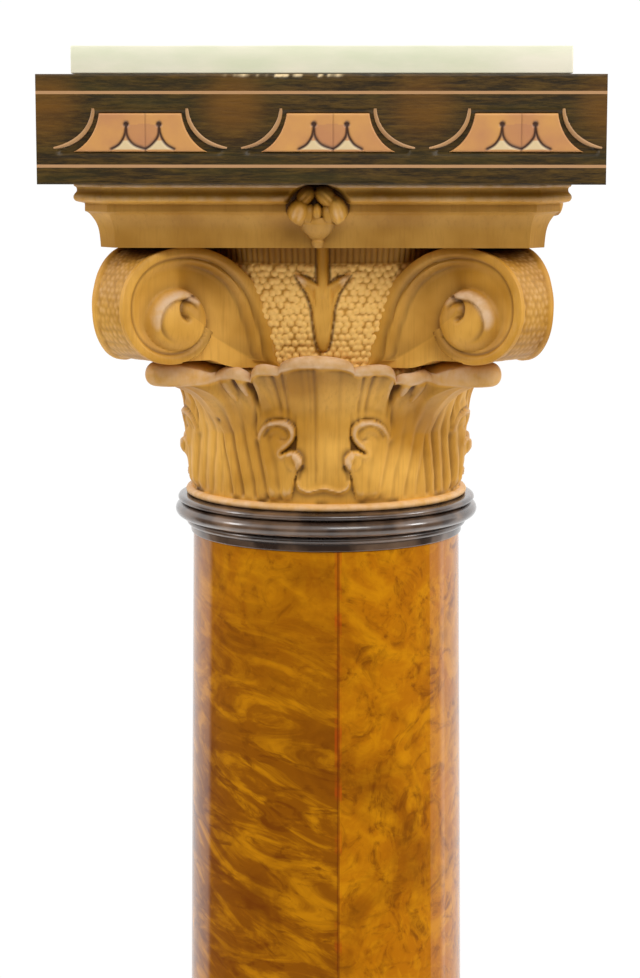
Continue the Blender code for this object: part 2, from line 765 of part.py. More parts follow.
def top_slab(material):
    half = SLAB_WIDTH / 2
    loops = [
        square_loop(half, SLAB_Z),
        square_loop(half, SLAB_Z + SLAB_HEIGHT - SLAB_CHAMFER),
        square_loop(half - SLAB_CHAMFER, SLAB_Z + SLAB_HEIGHT),
    ]
    return new_object("top_slab", mesh_from("top_slab", lambda bm: skin(bm, loops)), material)


def main():
    clear_scene()
    carved = finish_material("carved limewood", (0.52, 0.30, 0.10), 0.5)
    burl = finish_material("burl veneer", (0.46, 0.19, 0.03), 0.2)
    black = finish_material("ebonised wood", (0.03, 0.02, 0.015), 0.3)
    dark = finish_material("dark stained board", (0.07, 0.05, 0.02), 0.45)
    stone = finish_material("cream stone", (0.82, 0.80, 0.64), 0.2)
    foot_board(black)
    plinth_block(burl)
    base_moulding(black)
    shaft(burl)
    neck_ring(black)
    capital_bell(carved)
    corner_scrolls(carved, bell_cutter())
    abacus_moulding(carved)
    flowers(carved, abacus_cutter())
    top_board(dark)
    top_slab(stone)


main()
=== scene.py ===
"""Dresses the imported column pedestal: carved capital, frieze, turned rings and veneered shaft.

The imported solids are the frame. Every dressed piece takes its place from the box of the solid
that it stands for. Carving is worked out in millimetres on the unrolled surface and then put
round the column. The front is -Y and +Z is up.
"""

import logging
import math
from collections.abc import Callable, Sequence
from dataclasses import dataclass, field
from enum import Enum

import bpy
import numpy as np
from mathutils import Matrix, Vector


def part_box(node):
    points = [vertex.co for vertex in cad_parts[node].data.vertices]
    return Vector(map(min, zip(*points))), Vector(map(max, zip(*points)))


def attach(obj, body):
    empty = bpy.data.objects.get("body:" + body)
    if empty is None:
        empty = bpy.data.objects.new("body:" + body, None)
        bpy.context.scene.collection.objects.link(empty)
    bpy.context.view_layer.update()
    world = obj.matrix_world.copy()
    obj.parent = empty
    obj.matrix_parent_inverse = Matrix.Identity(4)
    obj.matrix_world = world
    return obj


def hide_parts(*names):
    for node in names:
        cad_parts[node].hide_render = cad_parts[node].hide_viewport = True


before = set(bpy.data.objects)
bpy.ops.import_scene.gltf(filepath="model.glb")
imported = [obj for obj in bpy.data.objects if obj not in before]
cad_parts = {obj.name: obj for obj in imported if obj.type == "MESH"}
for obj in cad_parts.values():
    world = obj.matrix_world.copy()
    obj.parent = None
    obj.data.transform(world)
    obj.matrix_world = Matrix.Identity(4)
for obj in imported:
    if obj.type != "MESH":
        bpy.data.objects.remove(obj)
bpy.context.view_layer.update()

LOG = logging.getLogger("column_pedestal")
MM = 0.001
Field = np.ndarray
Path = Sequence[tuple[float, float]]
Socket = bpy.types.NodeSocket


class Side(Enum):
    """The four sides of the pedestal, by their turn from the front in degrees."""

    FRONT = 0
    RIGHT = 90
    BACK = 180
    LEFT = 270


class Corner(Enum):
    """The four corners of the pedestal, by their turn from +X in degrees."""

    FRONT_LEFT = 225
    FRONT_RIGHT = 315
    BACK_RIGHT = 45
    BACK_LEFT = 135


def linear(code: str) -> tuple[float, float, float, float]:
    """Turns an sRGB hex colour into a linear RGBA value.

    Args:
        code: six hex digits after a hash sign.

    Returns:
        Linear red, green and blue with an alpha of one.
    """
    parts = [int(code[k : k + 2], 16) / 255 for k in (1, 3, 5)]
    return (*((p / 12.92 if p <= 0.04045 else ((p + 0.055) / 1.055) ** 2.4) for p in parts), 1.0)


def mix(low: Field | float, high: Field | float, share: Field | float) -> Field | float:
    """Goes from low to high by a share."""
    return low + (high - low) * share


def ease(low: float, high: float, value: Field | float) -> Field:
    """Rises smoothly from 0 at low to 1 at high.

    Args:
        low: value where the rise starts.
        high: value where it ends, which may be less than low.
        value: where to read it.

    Returns:
        Shares from 0 to 1.
    """
    t = np.clip((np.asarray(value, float) - low) / (high - low), 0.0, 1.0)
    return t * t * (3 - 2 * t)


def ridge(distance: Field, width: float) -> Field:
    """A rounded ridge of height 1 about distance 0, which falls to a third at width."""
    return np.exp(-((distance / width) ** 2))


def dome(x: Field, z: Field, wide: float, tall: float) -> Field:
    """A half ellipsoid of height 1 about the origin, and 0 outside it."""
    return np.sqrt(np.maximum(0.0, 1 - (x / wide) ** 2 - (z / tall) ** 2))


def path_distance(x: Field, z: Field, path: Path) -> Field:
    """Distance from each place to a run of straight pieces.

    Args:
        x: places across, in millimetres.
        z: places up, in millimetres.
        path: the points of the run.

    Returns:
        The shortest distance, in millimetres.
    """
    best = np.full(np.shape(x), 1e9)
    for (ax, az), (bx, bz) in zip(path, path[1:]):
        dx, dz = bx - ax, bz - az
        span = max(dx * dx + dz * dz, 1e-9)
        along = np.clip(((x - ax) * dx + (z - az) * dz) / span, 0.0, 1.0)
        best = np.minimum(best, np.hypot(x - ax - along * dx, z - az - along * dz))
    return best


def inside(x: Field, z: Field, outline: Path) -> Field:
    """Tells which places lie inside a closed outline.

    Args:
        x: places across.
        z: places up.
        outline: the corner points in order.

    Returns:
        True where a place is inside.
    """
    result = np.zeros(np.shape(x), bool)
    for (ax, az), (bx, bz) in zip(outline, [*outline[1:], outline[0]]):
        if az == bz:
            continue
        crosses = (az > z) != (bz > z)
        result ^= crosses & (x < (bx - ax) * (z - az) / (bz - az) + ax)
    return result


def plate(x: Field, z: Field, outline: Path, edge: float) -> Field:
    """A raised plate of height 1 with a rounded edge.

    Args:
        x: places across, in millimetres.
        z: places up, in millimetres.
        outline: the plate's corner points.
        edge: width of the rounded edge.

    Returns:
        Heights from 0 to 1.
    """
    depth = path_distance(x, z, [*outline, outline[0]])
    t = np.clip(depth / edge, 0.0, 1.0)
    return np.where(inside(x, z, outline), np.sqrt(1 - (1 - t) ** 2), 0.0)


def smooth_path(points: Path, steps: int) -> list[tuple[float, float]]:
    """Rounds a run of points into a smooth curve through them.

    Args:
        points: the points of the run.
        steps: pieces between two points.

    Returns:
        The points of the curve.
    """
    p = np.array([points[0], *points, points[-1]], float)
    out = []
    for k in range(1, len(p) - 2):
        for t in np.linspace(0, 1, steps, endpoint=False):
            a, b, c, d = p[k - 1], p[k], p[k + 1], p[k + 2]
            q = 2 * b + (c - a) * t + (2 * a - 5 * b + 4 * c - d) * t**2
            q = (q + (3 * b - a - 3 * c + d) * t**3) / 2
            out.append((float(q[0]), float(q[1])))
    return [*out, tuple(points[-1])]


def hand_wobble(x: Field, z: Field, scale: float) -> Field:
    """The slow unevenness of hand work, between about -1 and 1.

    Args:
        x: places across, in millimetres.
        z: places up, in millimetres.
        scale: length of its waves, in millimetres.

    Returns:
        The unevenness at each place.
    """
    u, v = x / scale, z / scale
    waves = np.sin(1.7 * u + 2.3 * np.sin(1.1 * v + 0.4)) + np.sin(2.3 * v - 1.9 * np.sin(0.7 * u))
    return 0.4 * (waves + 0.5 * np.sin(3.1 * u + 2.7 * v + 1.3))


def punch_marks(x: Field, z: Field, cell: float, around: float) -> Field:
    """Offset rows of round marks that a punch leaves over a ground.

    Args:
        x: places across, in millimetres.
        z: places up.
        cell: rough distance between two marks.
        around: length after which the marks repeat.

    Returns:
        Bumps between 0 and 1.
    """
    count = round(around / cell)
    cell = around / count
    pitch = 0.88 * cell
    row = np.floor(z / pitch)
    best = np.full(np.broadcast(x, z).shape, 9.0 * cell)
    for above in (-1, 0, 1):
        r = row + above
        shift = 0.5 * np.mod(r, 2)
        column = np.floor(x / cell - shift)
        for right in (-1, 0, 1):
            c = (column + right) % count
            off_x = np.mod(np.sin(c * 12.9898 + r * 78.233) * 43758.5453, 1) - 0.5
            off_z = np.mod(np.sin(c * 39.346 + r * 11.135) * 24634.6345, 1) - 0.5
            mark_x = (column + right + shift + 0.5 + 0.4 * off_x) * cell
            mark_z = (r + 0.5 + 0.4 * off_z) * pitch
            best = np.minimum(best, np.hypot(x - mark_x, z - mark_z))
    return np.maximum(0, 1 - (best / (0.58 * cell)) ** 2)


def soften(values: Field, rounds: int) -> Field:
    """Smooths a grid whose columns go all round by averaging it with its neighbours.

    Args:
        values: the grid, rows first.
        rounds: how many rounds.

    Returns:
        The smoothed grid.
    """
    out = np.asarray(values, float)
    for _ in range(rounds):
        tall = np.pad(out, ((1, 1), (0, 0)), mode="edge")
        out = (tall[:-2] + 2 * out + tall[2:]) / 4
        wide = np.pad(out, ((0, 0), (1, 1)), mode="wrap")
        out = (wide[:, :-2] + 2 * out + wide[:, 2:]) / 4
    return out


@dataclass
class Carving:
    """A mesh put together from grids of points, with shares stored on its points."""

    name: str
    points: list[Field] = field(default_factory=list)
    faces: list[Field] = field(default_factory=list)
    layers: dict[str, list[Field]] = field(default_factory=dict)
    count: int = 0

    def grid(
        self,
        points: Field,
        wrap: bool = False,
        loop: bool = False,
        flip: bool = False,
        **layers: Field,
    ) -> None:
        """Adds a grid of four-sided faces.

        Args:
            points: array of rows, columns and three coordinates, in metres.
            wrap: whether the last column joins the first.
            loop: whether the last row joins the first.
            flip: whether the faces look the other way.
            layers: arrays of rows and columns that are stored on the points.
        """
        rows, columns = points.shape[:2]
        index = self.count + np.arange(rows * columns).reshape(rows, columns)
        if wrap:
            index = np.concatenate([index, index[:, :1]], axis=1)
        if loop:
            index = np.concatenate([index, index[:1]], axis=0)
        quads = [index[:-1, :-1], index[:-1, 1:], index[1:, 1:], index[1:, :-1]]
        quads = np.stack(quads[::-1] if flip else quads, axis=-1).reshape(-1, 4)
        self.points.append(points.reshape(-1, 3))
        self.faces.append(quads)
        for key, values in layers.items():
            missing = self.count - sum(len(part) for part in self.layers.get(key, []))
            parts = self.layers.setdefault(key, [])
            if missing:
                parts.append(np.zeros(missing))
            parts.append(np.broadcast_to(values, (rows, columns)).reshape(-1))
        self.count += rows * columns

    def build(
        self, material: bpy.types.Material, sharp: float = 50.0, weld: float = 1e-5
    ) -> bpy.types.Object:
        """Makes the object, welded and smooth, and hangs it on the root body.

        Args:
            material: its finish.
            sharp: angle in degrees past which an edge stays sharp.
            weld: distance under which points are joined, in metres.

        Returns:
            The new object.
        """
        mesh = bpy.data.meshes.new(self.name)
        vertices = np.concatenate(self.points)
        mesh.from_pydata(vertices.tolist(), [], np.concatenate(self.faces).tolist())
        for key, parts in self.layers.items():
            values = np.concatenate(parts)
            values = np.pad(values, (0, len(vertices) - len(values)))
            layer = mesh.attributes.new(key, "FLOAT", "POINT")
            layer.data.foreach_set("value", values.astype(np.float32))
        mesh.materials.append(material)
        piece = bpy.data.objects.new(self.name, mesh)
        bpy.context.scene.collection.objects.link(piece)
        welder = piece.modifiers.new("weld", "WELD")
        welder.merge_threshold = weld
        bpy.context.view_layer.update()
        evaluated = piece.evaluated_get(bpy.context.evaluated_depsgraph_get())
        piece.modifiers.clear()
        piece.data = bpy.data.meshes.new_from_object(evaluated)
        piece.data.name = self.name
        bpy.data.meshes.remove(mesh)
        piece.data.shade_smooth()
        piece.data.set_sharp_from_angle(angle=math.radians(sharp))
        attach(piece, "root")
        return piece


def turned(name: str, profile: Path, sides: int, base: float) -> Carving:
    """Turns a profile round the column's axis.

    Args:
        name: the piece's name.
        profile: radius and height of each point from the foot up, in millimetres.
        sides: how many columns go round.
        base: height of the profile's zero, in metres.

    Returns:
        The closed carving.
    """
    turn = np.linspace(0, math.tau, sides, endpoint=False)
    ring = np.array([(0.0, profile[0][1]), *profile, (0.0, profile[-1][1])]) * MM
    points = np.stack(
        [
            ring[:, :1] * np.cos(turn),
            ring[:, :1] * np.sin(turn),
            np.broadcast_to(ring[:, 1:] + base, (len(ring), sides)),
        ],
        axis=-1,
    )
    piece = Carving(name)
    piece.grid(points, wrap=True)
    return piece


def add_node(
    tree: bpy.types.NodeTree, kind: str, links: dict[str | int, object] | None = None, **settings
) -> bpy.types.Node:
    """Adds a node with its settings and its inputs.

    Args:
        tree: the node tree.
        kind: the node's type.
        links: for each input, a value, or the output that feeds it.
        settings: properties of the node itself.

    Returns:
        The new node.
    """
    node = tree.nodes.new(kind)
    for key, value in settings.items():
        setattr(node, key, value)
    for key, value in (links or {}).items():
        if isinstance(value, bpy.types.NodeSocket):
            tree.links.new(value, node.inputs[key])
        else:
            node.inputs[key].default_value = value
    return node


@dataclass(frozen=True)
class Finish:
    """A finish that fills the node tree of one material. Its pattern sizes are in millimetres."""

    name: str

    def material(self) -> bpy.types.Material:
        """Makes the material.

        Returns:
            The material with its nodes.
        """
        made = bpy.data.materials.new(self.name)
        made.use_nodes = True
        self.fill(made.node_tree, made.node_tree.nodes["Principled BSDF"])
        return made

    def fill(self, tree: bpy.types.NodeTree, shader: bpy.types.Node) -> None:
        """Adds the nodes that feed the shader.

        Args:
            tree: the material's node tree.
            shader: its principled shader.
        """

    def figure(
        self, tree: bpy.types.NodeTree, place: Socket, size_mm: float, noise: dict[str, float],
        low: float, high: float, most: float = 1.0, curve: str = "LINEAR",
    ) -> tuple[Socket, Socket]:
        """One layer of the surface's figure, made from a noise.

        Args:
            tree: the node tree.
            place: where it is read.
            size_mm: size of its clouds.
            noise: the noise's other settings.
            low: noise value at which the layer starts.
            high: noise value at which it is full.
            most: its share where it is full.
            curve: how it rises.

        Returns:
            The bare noise, and the layer's shares from 0 to most.
        """
        settings = {"Vector": place, "Scale": 1 / (size_mm * MM), **noise}
        bare = add_node(tree, "ShaderNodeTexNoise", settings).outputs["Fac"]
        share = add_node(
            tree,
            "ShaderNodeMapRange",
            {"Value": bare, "From Min": low, "From Max": high, "To Max": most},
            interpolation_type=curve,
        )
        return bare, share.outputs[0]

    def layered(
        self, tree: bpy.types.NodeTree, first: Socket | tuple[float, ...],
        layers: Sequence[tuple[Socket, float, str]],
    ) -> Socket:
        """Lays tones over a first one, each by its share.

        Args:
            tree: the node tree.
            first: the tone underneath.
            layers: share, strength and hex colour of each tone.

        Returns:
            The colour.
        """
        colour = first
        for share, strength, code in layers:
            if strength < 1:
                amount = {0: share, 1: strength}
                share = add_node(tree, "ShaderNodeMath", amount, operation="MULTIPLY").outputs[0]
            tones = {0: share, 6: colour, 7: linear(code)}
            colour = add_node(tree, "ShaderNodeMix", tones, data_type="RGBA").outputs[2]
        return colour


@dataclass(frozen=True)
class CarvedLimewood(Finish):
    """Limewood, carved with gouges and waxed.

    The eye sees warm ochre with faint upright grain and pale edges where hands have rubbed the wax off.
    Brown in the hollows and under the overhangs is painted shade, with some stain in the recesses, and
    the pale tops of the punch marks, the abacus edges and the scroll crests are painted highlights.
    The grain is drawn coarser than life.
    """

    name: str = "limewood_carved_waxed"
    body: str = "#b0781a"
    pale: str = "#dfa749"
    # Brown of the hollow share: painted shade, with some stain in the recesses.
    deep: str = "#5a350b"
    streak: str = "#a47026"
    # Pale of the wear share: wear, and a painted highlight on the abacus edges and the scroll crests.
    worn: str = "#dab58c"
    # Pale gold, painted as a highlight on the tops of the punch marks.
    gold: str = "#f2c06a"
    cloud_mm: float = 500 / 11
    grain_mm: float = 1.6
    grain_stretch: float = 0.06
    grain_bump_mm: float = 0.4
    rub_mm: float = 6.25
    rub_gain: float = 2.2
    roughness: float = 0.5
    specular: float = 0.3

    def fill(self, tree: bpy.types.NodeTree, shader: bpy.types.Node) -> None:
        """Adds cloudy stain, upright grain, brown painted shade in the hollows, pale worn edges and painted
        highlights.

        Args:
            tree: the material's node tree.
            shader: its principled shader.
        """
        place = add_node(tree, "ShaderNodeTexCoord").outputs["Object"]
        stretched = {"Vector": place, "Scale": (1.0, 1.0, self.grain_stretch)}
        along = add_node(tree, "ShaderNodeMapping", stretched).outputs[0]
        _, cloudy = self.figure(tree, place, self.cloud_mm, {"Detail": 3.0}, 0.34, 0.66)
        grain, streaks = self.figure(tree, along, self.grain_mm, {"Detail": 4.0}, 0.5, 0.75, 0.3)
        gilt, hollow, wear = (
            add_node(tree, "ShaderNodeAttribute", attribute_name=key).outputs["Fac"]
            for key in ("gilt", "hollow", "wear")
        )
        patchy = add_node(
            tree,
            "ShaderNodeTexNoise",
            {"Vector": place, "Scale": 1 / (self.rub_mm * MM), "Detail": 4.0},
        )
        rubbed = {0: wear, 1: patchy.outputs["Fac"], 2: -0.1}
        for operation in ("MULTIPLY_ADD", "MULTIPLY"):
            node = add_node(tree, "ShaderNodeMath", rubbed, operation=operation, use_clamp=True)
            rubbed = {0: node.outputs[0], 1: self.rub_gain}
        # The hollow share lays on painted shade and stain, the punch-mark share a painted highlight, and
        # the wear share wear and painted highlights.
        colour = self.layered(tree, linear(self.body), (
            (cloudy, 1.0, self.pale), (streaks, 1.0, self.streak), (gilt, 1.0, self.gold),
            (hollow, 1.0, self.deep), (rubbed[0], 1.0, self.worn),
        ))
        bump = add_node(
            tree,
            "ShaderNodeBump",
            {"Height": grain, "Strength": 0.12, "Distance": self.grain_bump_mm * MM},
        )
        tree.links.new(colour, shader.inputs["Base Color"])
        tree.links.new(bump.outputs[0], shader.inputs["Normal"])
        shader.inputs["Roughness"].default_value = self.roughness
        shader.inputs["Specular IOR Level"].default_value = self.specular


@dataclass(frozen=True)
class EbonisedWood(Finish):
    """Pearwood turned, stained black and polished.

    The eye sees a near black brown with clear highlights, browner and duller where it is rubbed.
    """

    name: str = "pearwood_ebonised_polished"
    black: str = "#32231a"
    rubbed: str = "#7d624c"
    patch_mm: float = 25.0
    roughest: float = 0.4
    smoothest: float = 0.2
    coat: float = 0.7
    coat_roughness: float = 0.1

    def fill(self, tree: bpy.types.NodeTree, shader: bpy.types.Node) -> None:
        """Adds faint rubbed patches and an uneven polish.

        Args:
            tree: the material's node tree.
            shader: its principled shader.
        """
        place = add_node(tree, "ShaderNodeTexCoord").outputs["Object"]
        patches, share = self.figure(tree, place, self.patch_mm, {"Detail": 5.0}, 0.42, 0.74)
        colour = self.layered(tree, linear(self.black), ((share, 1.0, self.rubbed),))
        dull = add_node(
            tree,
            "ShaderNodeMapRange",
            {"Value": patches, "To Min": self.smoothest, "To Max": self.roughest},
        )
        tree.links.new(colour, shader.inputs["Base Color"])
        tree.links.new(dull.outputs[0], shader.inputs["Roughness"])
        shader.inputs["Coat Weight"].default_value = self.coat
        shader.inputs["Coat Roughness"].default_value = self.coat_roughness


@dataclass(frozen=True)
class StainedBoard(Finish):
    """Softwood board, planed, stained dark and polished long ago, with two strings let in flush.

    The eye sees level grain from near black to olive brown, warmer in the eggs, and bare pale
    wood where the top edge is chipped.
    """

    name: str = "board_stained_with_stringing"
    stain: str = "#271c07"
    rubbed: str = "#5c4314"
    moss: str = "#3a340c"
    warm: str = "#7b4f13"
    string: str = "#b58a60"
    bare: str = "#d8bf92"
    grain_mm: float = 50 / 3
    grain_squeeze: float = 9.0
    grain_bump_mm: float = 0.5
    patch_mm: float = 500 / 7
    string_mm: float = 1.7
    roughness: float = 0.42
    specular: float = 0.3
    levels: tuple[float, ...] = ()

    def fill(self, tree: bpy.types.NodeTree, shader: bpy.types.Node) -> None:
        """Adds level grain, rubbed streaks and the two strings at their levels.

        Args:
            tree: the material's node tree.
            shader: its principled shader.
        """
        place = add_node(tree, "ShaderNodeTexCoord").outputs["Object"]
        squeezed = {"Vector": place, "Scale": (1.0, 1.0, self.grain_squeeze)}
        along = add_node(tree, "ShaderNodeMapping", squeezed).outputs[0]
        noise = {"Detail": 8.0, "Roughness": 0.75}
        grain, share = self.figure(tree, along, self.grain_mm, noise, 0.42, 0.66)
        patches, green = self.figure(
            tree, along, self.patch_mm, {"Detail": 4.0}, 0.45, 0.7, most=0.45
        )
        egg, wear = (
            add_node(tree, "ShaderNodeAttribute", attribute_name=key).outputs["Fac"]
            for key in ("egg", "wear")
        )
        browned = add_node(tree, "ShaderNodeMath", {0: egg, 1: patches}, operation="MULTIPLY")
        height = add_node(tree, "ShaderNodeSeparateXYZ", {0: place}).outputs["Z"]
        strings = [
            add_node(
                tree,
                "ShaderNodeMath",
                {0: height, 1: level, 2: self.string_mm / 2 * MM},
                operation="COMPARE",
            ).outputs[0]
            for level in self.levels
        ]
        colour = self.layered(tree, linear(self.stain), (
            (share, 1.0, self.rubbed), (green, 1.0, self.moss),
            (browned.outputs[0], 1.0, self.warm),
            *((line, 1.0, self.string) for line in strings), (wear, 1.0, self.bare),
        ))
        bump = add_node(
            tree,
            "ShaderNodeBump",
            {"Height": grain, "Strength": 0.35, "Distance": self.grain_bump_mm * MM},
        )
        tree.links.new(colour, shader.inputs["Base Color"])
        tree.links.new(bump.outputs[0], shader.inputs["Normal"])
        shader.inputs["Roughness"].default_value = self.roughness
        shader.inputs["Specular IOR Level"].default_value = self.specular


@dataclass(frozen=True)
class InlaidVeneer(Finish):
    """Fruitwood veneer, sawn, let into the board and engraved.

    The eye sees cloudy tan, rosy between the stalks, pale at their feet, and dark cut lines.
    """

    name: str = "fruitwood_inlaid_engraved"
    tan: str = "#cf9650"
    rosy: str = "#ae7252"
    pale: str = "#d6bd90"
    line: str = "#43240f"
    cloud_mm: float = 500 / 19
    roughness: float = 0.45

    def fill(self, tree: bpy.types.NodeTree, shader: bpy.types.Node) -> None:
        """Adds cloudy tan, the rosy and pale parts and the dark cut lines.

        Args:
            tree: the material's node tree.
            shader: its principled shader.
        """
        place = add_node(tree, "ShaderNodeTexCoord").outputs["Object"]
        _, cloudy = self.figure(tree, place, self.cloud_mm, {"Detail": 4.0}, 0.35, 0.65, 0.6)
        parts = [
            (add_node(tree, "ShaderNodeAttribute", attribute_name=key).outputs["Fac"], 1.0, code)
            for key, code in (("rose", self.rosy), ("pale", self.pale), ("line", self.line))
        ]
        colour = self.layered(tree, linear(self.tan), ((cloudy, 1.0, self.rosy), *parts))
        tree.links.new(colour, shader.inputs["Base Color"])
        shader.inputs["Roughness"].default_value = self.roughness


@dataclass(frozen=True)
class InlaidCrescents(InlaidVeneer):
    """Boxwood strips, bent, let in along the eggs and polished: the eye sees a soft light tan."""

    name: str = "boxwood_inlaid_polished"
    tan: str = "#b48858"
    rosy: str = "#9a7048"


class BurlTone(Enum):
    """Tones of the burl veneer, as sRGB hex colours."""

    AMBER = "#ae6703"
    HONEY = "#874c02"
    GOLD = "#c88306"
    BROWN = "#6b3401"
    SEAM = "#5e2404"
    BLUSH = "#b8430a"


@dataclass(frozen=True)
class Figure:
    """One layer of the burl's figure: its size, curl, noise values, strength and tone."""

    size_mm: float
    bend: float
    low: float
    high: float
    strength: float
    tone: BurlTone
    leaning: bool = False


@dataclass(frozen=True)
class BurlVeneer(Finish):
    """Burl veneer, laid in three leaves and French polished.

    The eye sees two leaves of curling amber clouds and one of leaning flames under a hard clear
    gloss, with a dark line and reddish bleeding at each seam.
    """

    name: str = "burl_veneer_french_polished"
    radius_mm: float = 86.0
    seam_degrees: tuple[float, ...] = (-83.9, 36.1, 156.1)
    seam_half: float = 0.010
    bleed_half: float = 0.026
    flame_lean: float = -15.0
    flame_stretch: float = 2.8
    flame_levels: tuple[float, float] = (0.83, 0.70)
    least_flame: float = 0.25
    roughness: float = 0.5
    specular: float = 0.05
    coat: float = 0.85
    coat_roughness: float = 0.04
    clouds: tuple[Figure, ...] = (
        Figure(125 / 3, 1.6, 0.40, 0.66, 0.85, BurlTone.GOLD),
        Figure(25.0, 2.4, 0.47, 0.70, 0.75, BurlTone.BROWN),
        Figure(100 / 11, 1.0, 0.50, 0.68, 0.5, BurlTone.GOLD),
        Figure(250 / 3, 0.8, 0.46, 0.66, 0.6, BurlTone.BROWN),
    )
    flames: tuple[Figure, ...] = (
        Figure(25.0, 2.3, 0.42, 0.66, 0.75, BurlTone.GOLD, leaning=True),
        Figure(100 / 9, 1.6, 0.52, 0.68, 0.75, BurlTone.BROWN, leaning=True),
        Figure(250 / 3, 1.0, 0.46, 0.70, 0.75, BurlTone.BROWN),
    )
    bleeding: Figure = Figure(100 / 3, 0.5, 0.42, 0.62, 0.5, BurlTone.BLUSH)

    def unrolled(self, tree: bpy.types.NodeTree) -> tuple[Socket, Socket, Socket, Socket]:
        """Unrolls the shaft.

        Args:
            tree: the node tree.

        Returns:
            The turn round the axis, the place, the height, and the place on the leaning flames.
        """
        place = add_node(tree, "ShaderNodeTexCoord").outputs["Object"]
        parts = add_node(tree, "ShaderNodeSeparateXYZ", {0: place}).outputs
        sides = {0: parts["Y"], 1: parts["X"]}
        turn = add_node(tree, "ShaderNodeMath", sides, operation="ARCTAN2").outputs[0]
        radius = {0: turn, 1: self.radius_mm * MM}
        along = add_node(tree, "ShaderNodeMath", radius, operation="MULTIPLY").outputs[0]
        flat = add_node(tree, "ShaderNodeCombineXYZ", {"X": along, "Y": parts["Z"]}).outputs[0]
        lean = (0.0, 0.0, math.radians(self.flame_lean))
        leaning = add_node(
            tree,
            "ShaderNodeMapping",
            {"Vector": flat, "Rotation": lean, "Scale": (self.flame_stretch, 1.0, 1.0)},
            vector_type="TEXTURE",
        ).outputs[0]
        return turn, place, parts["Z"], leaning

    def shares(self, tree: bpy.types.NodeTree, places: tuple[Socket, Socket], figure: Figure) -> Socket:
        """Where one layer of the figure shows.

        Args:
            tree: the node tree.
            places: the place, and the place on the leaning flames.
            figure: the layer.

        Returns:
            Its shares.
        """
        noise = {"Detail": 7.0, "Roughness": 0.62, "Distortion": figure.bend}
        return self.figure(
            tree, places[figure.leaning], figure.size_mm, noise, figure.low, figure.high,
            curve="SMOOTHSTEP",
        )[1]

    def leaf(
        self, tree: bpy.types.NodeTree, places: tuple[Socket, Socket], under: BurlTone,
        figures: tuple[Figure, ...],
    ) -> Socket:
        """The colour of one kind of leaf.

        Args:
            tree: the node tree.
            places: the place, and the place on the leaning flames.
            under: its ground tone.
            figures: its layers.

        Returns:
            The colour.
        """
        layers = [(self.shares(tree, places, f), f.strength, f.tone.value) for f in figures]
        return self.layered(tree, linear(under.value), layers)

    def fill(self, tree: bpy.types.NodeTree, shader: bpy.types.Node) -> None:
        """Adds the burl clouds, the flames of the third leaf, and the seams.

        Args:
            tree: the material's node tree.
            shader: its principled shader.
        """
        turn, place, height, leaning = self.unrolled(tree)
        places = (place, leaning)
        burl = self.leaf(tree, places, BurlTone.AMBER, self.clouds)
        flame = self.leaf(tree, places, BurlTone.HONEY, self.flames)
        seams = [math.radians(degrees) for degrees in self.seam_degrees]
        past = [
            add_node(tree, "ShaderNodeMath", {0: turn, 1: seam}, operation=test).outputs[0]
            for seam, test in ((seams[0], "LESS_THAN"), (seams[2], "GREATER_THAN"))
        ]
        third = add_node(tree, "ShaderNodeMath", {0: past[0], 1: past[1]}, operation="MAXIMUM")
        top, foot = self.flame_levels
        lower = add_node(
            tree,
            "ShaderNodeMapRange",
            {"Value": height, "From Min": top, "From Max": foot, "To Min": self.least_flame},
        )
        flamed = {0: third.outputs[0], 1: lower.outputs[0]}
        flamed = add_node(tree, "ShaderNodeMath", flamed, operation="MULTIPLY").outputs[0]
        leaves = {0: flamed, 6: burl, 7: flame}
        colour = add_node(tree, "ShaderNodeMix", leaves, data_type="RGBA").outputs[2]
        patchy = self.shares(tree, places, self.bleeding)
        for seam in seams:
            wide, narrow = (
                add_node(
                    tree, "ShaderNodeMath", {0: turn, 1: seam, 2: half}, operation="COMPARE"
                ).outputs[0]
                for half in (self.bleed_half, self.seam_half)
            )
            blush = add_node(tree, "ShaderNodeMath", {0: wide, 1: patchy}, operation="MULTIPLY")
            colour = self.layered(tree, colour, (
                (blush.outputs[0], self.bleeding.strength, BurlTone.BLUSH.value),
                (narrow, 0.5, BurlTone.SEAM.value),
            ))
        tree.links.new(colour, shader.inputs["Base Color"])
        shader.inputs["Roughness"].default_value = self.roughness
        shader.inputs["Specular IOR Level"].default_value = self.specular
        shader.inputs["Coat Weight"].default_value = self.coat
        shader.inputs["Coat Roughness"].default_value = self.coat_roughness


@dataclass(frozen=True)
class CreamOnyx(Finish):
    """Onyx marble, sawn and polished: the eye sees cream with soft, pale green level clouds."""

    name: str = "onyx_marble_polished"
    cream: str = "#fbf5de"
    green: str = "#e8eacb"
    cloud_mm: float = 500 / 9
    cloud_squeeze: float = 3.0
    roughness: float = 0.25
    ior: float = 1.49

    def fill(self, tree: bpy.types.NodeTree, shader: bpy.types.Node) -> None:
        """Adds soft level clouds.

        Args:
            tree: the material's node tree.
            shader: its principled shader.
        """
        place = add_node(tree, "ShaderNodeTexCoord").outputs["Object"]
        squeezed = {"Vector": place, "Scale": (1.0, 1.0, self.cloud_squeeze)}
        along = add_node(tree, "ShaderNodeMapping", squeezed).outputs[0]
        _, share = self.figure(tree, along, self.cloud_mm, {"Detail": 5.0}, 0.35, 0.65)
        colour = self.layered(tree, linear(self.cream), ((share, 1.0, self.green),))
        tree.links.new(colour, shader.inputs["Base Color"])
        shader.inputs["Roughness"].default_value = self.roughness
        shader.inputs["IOR"].default_value = self.ior


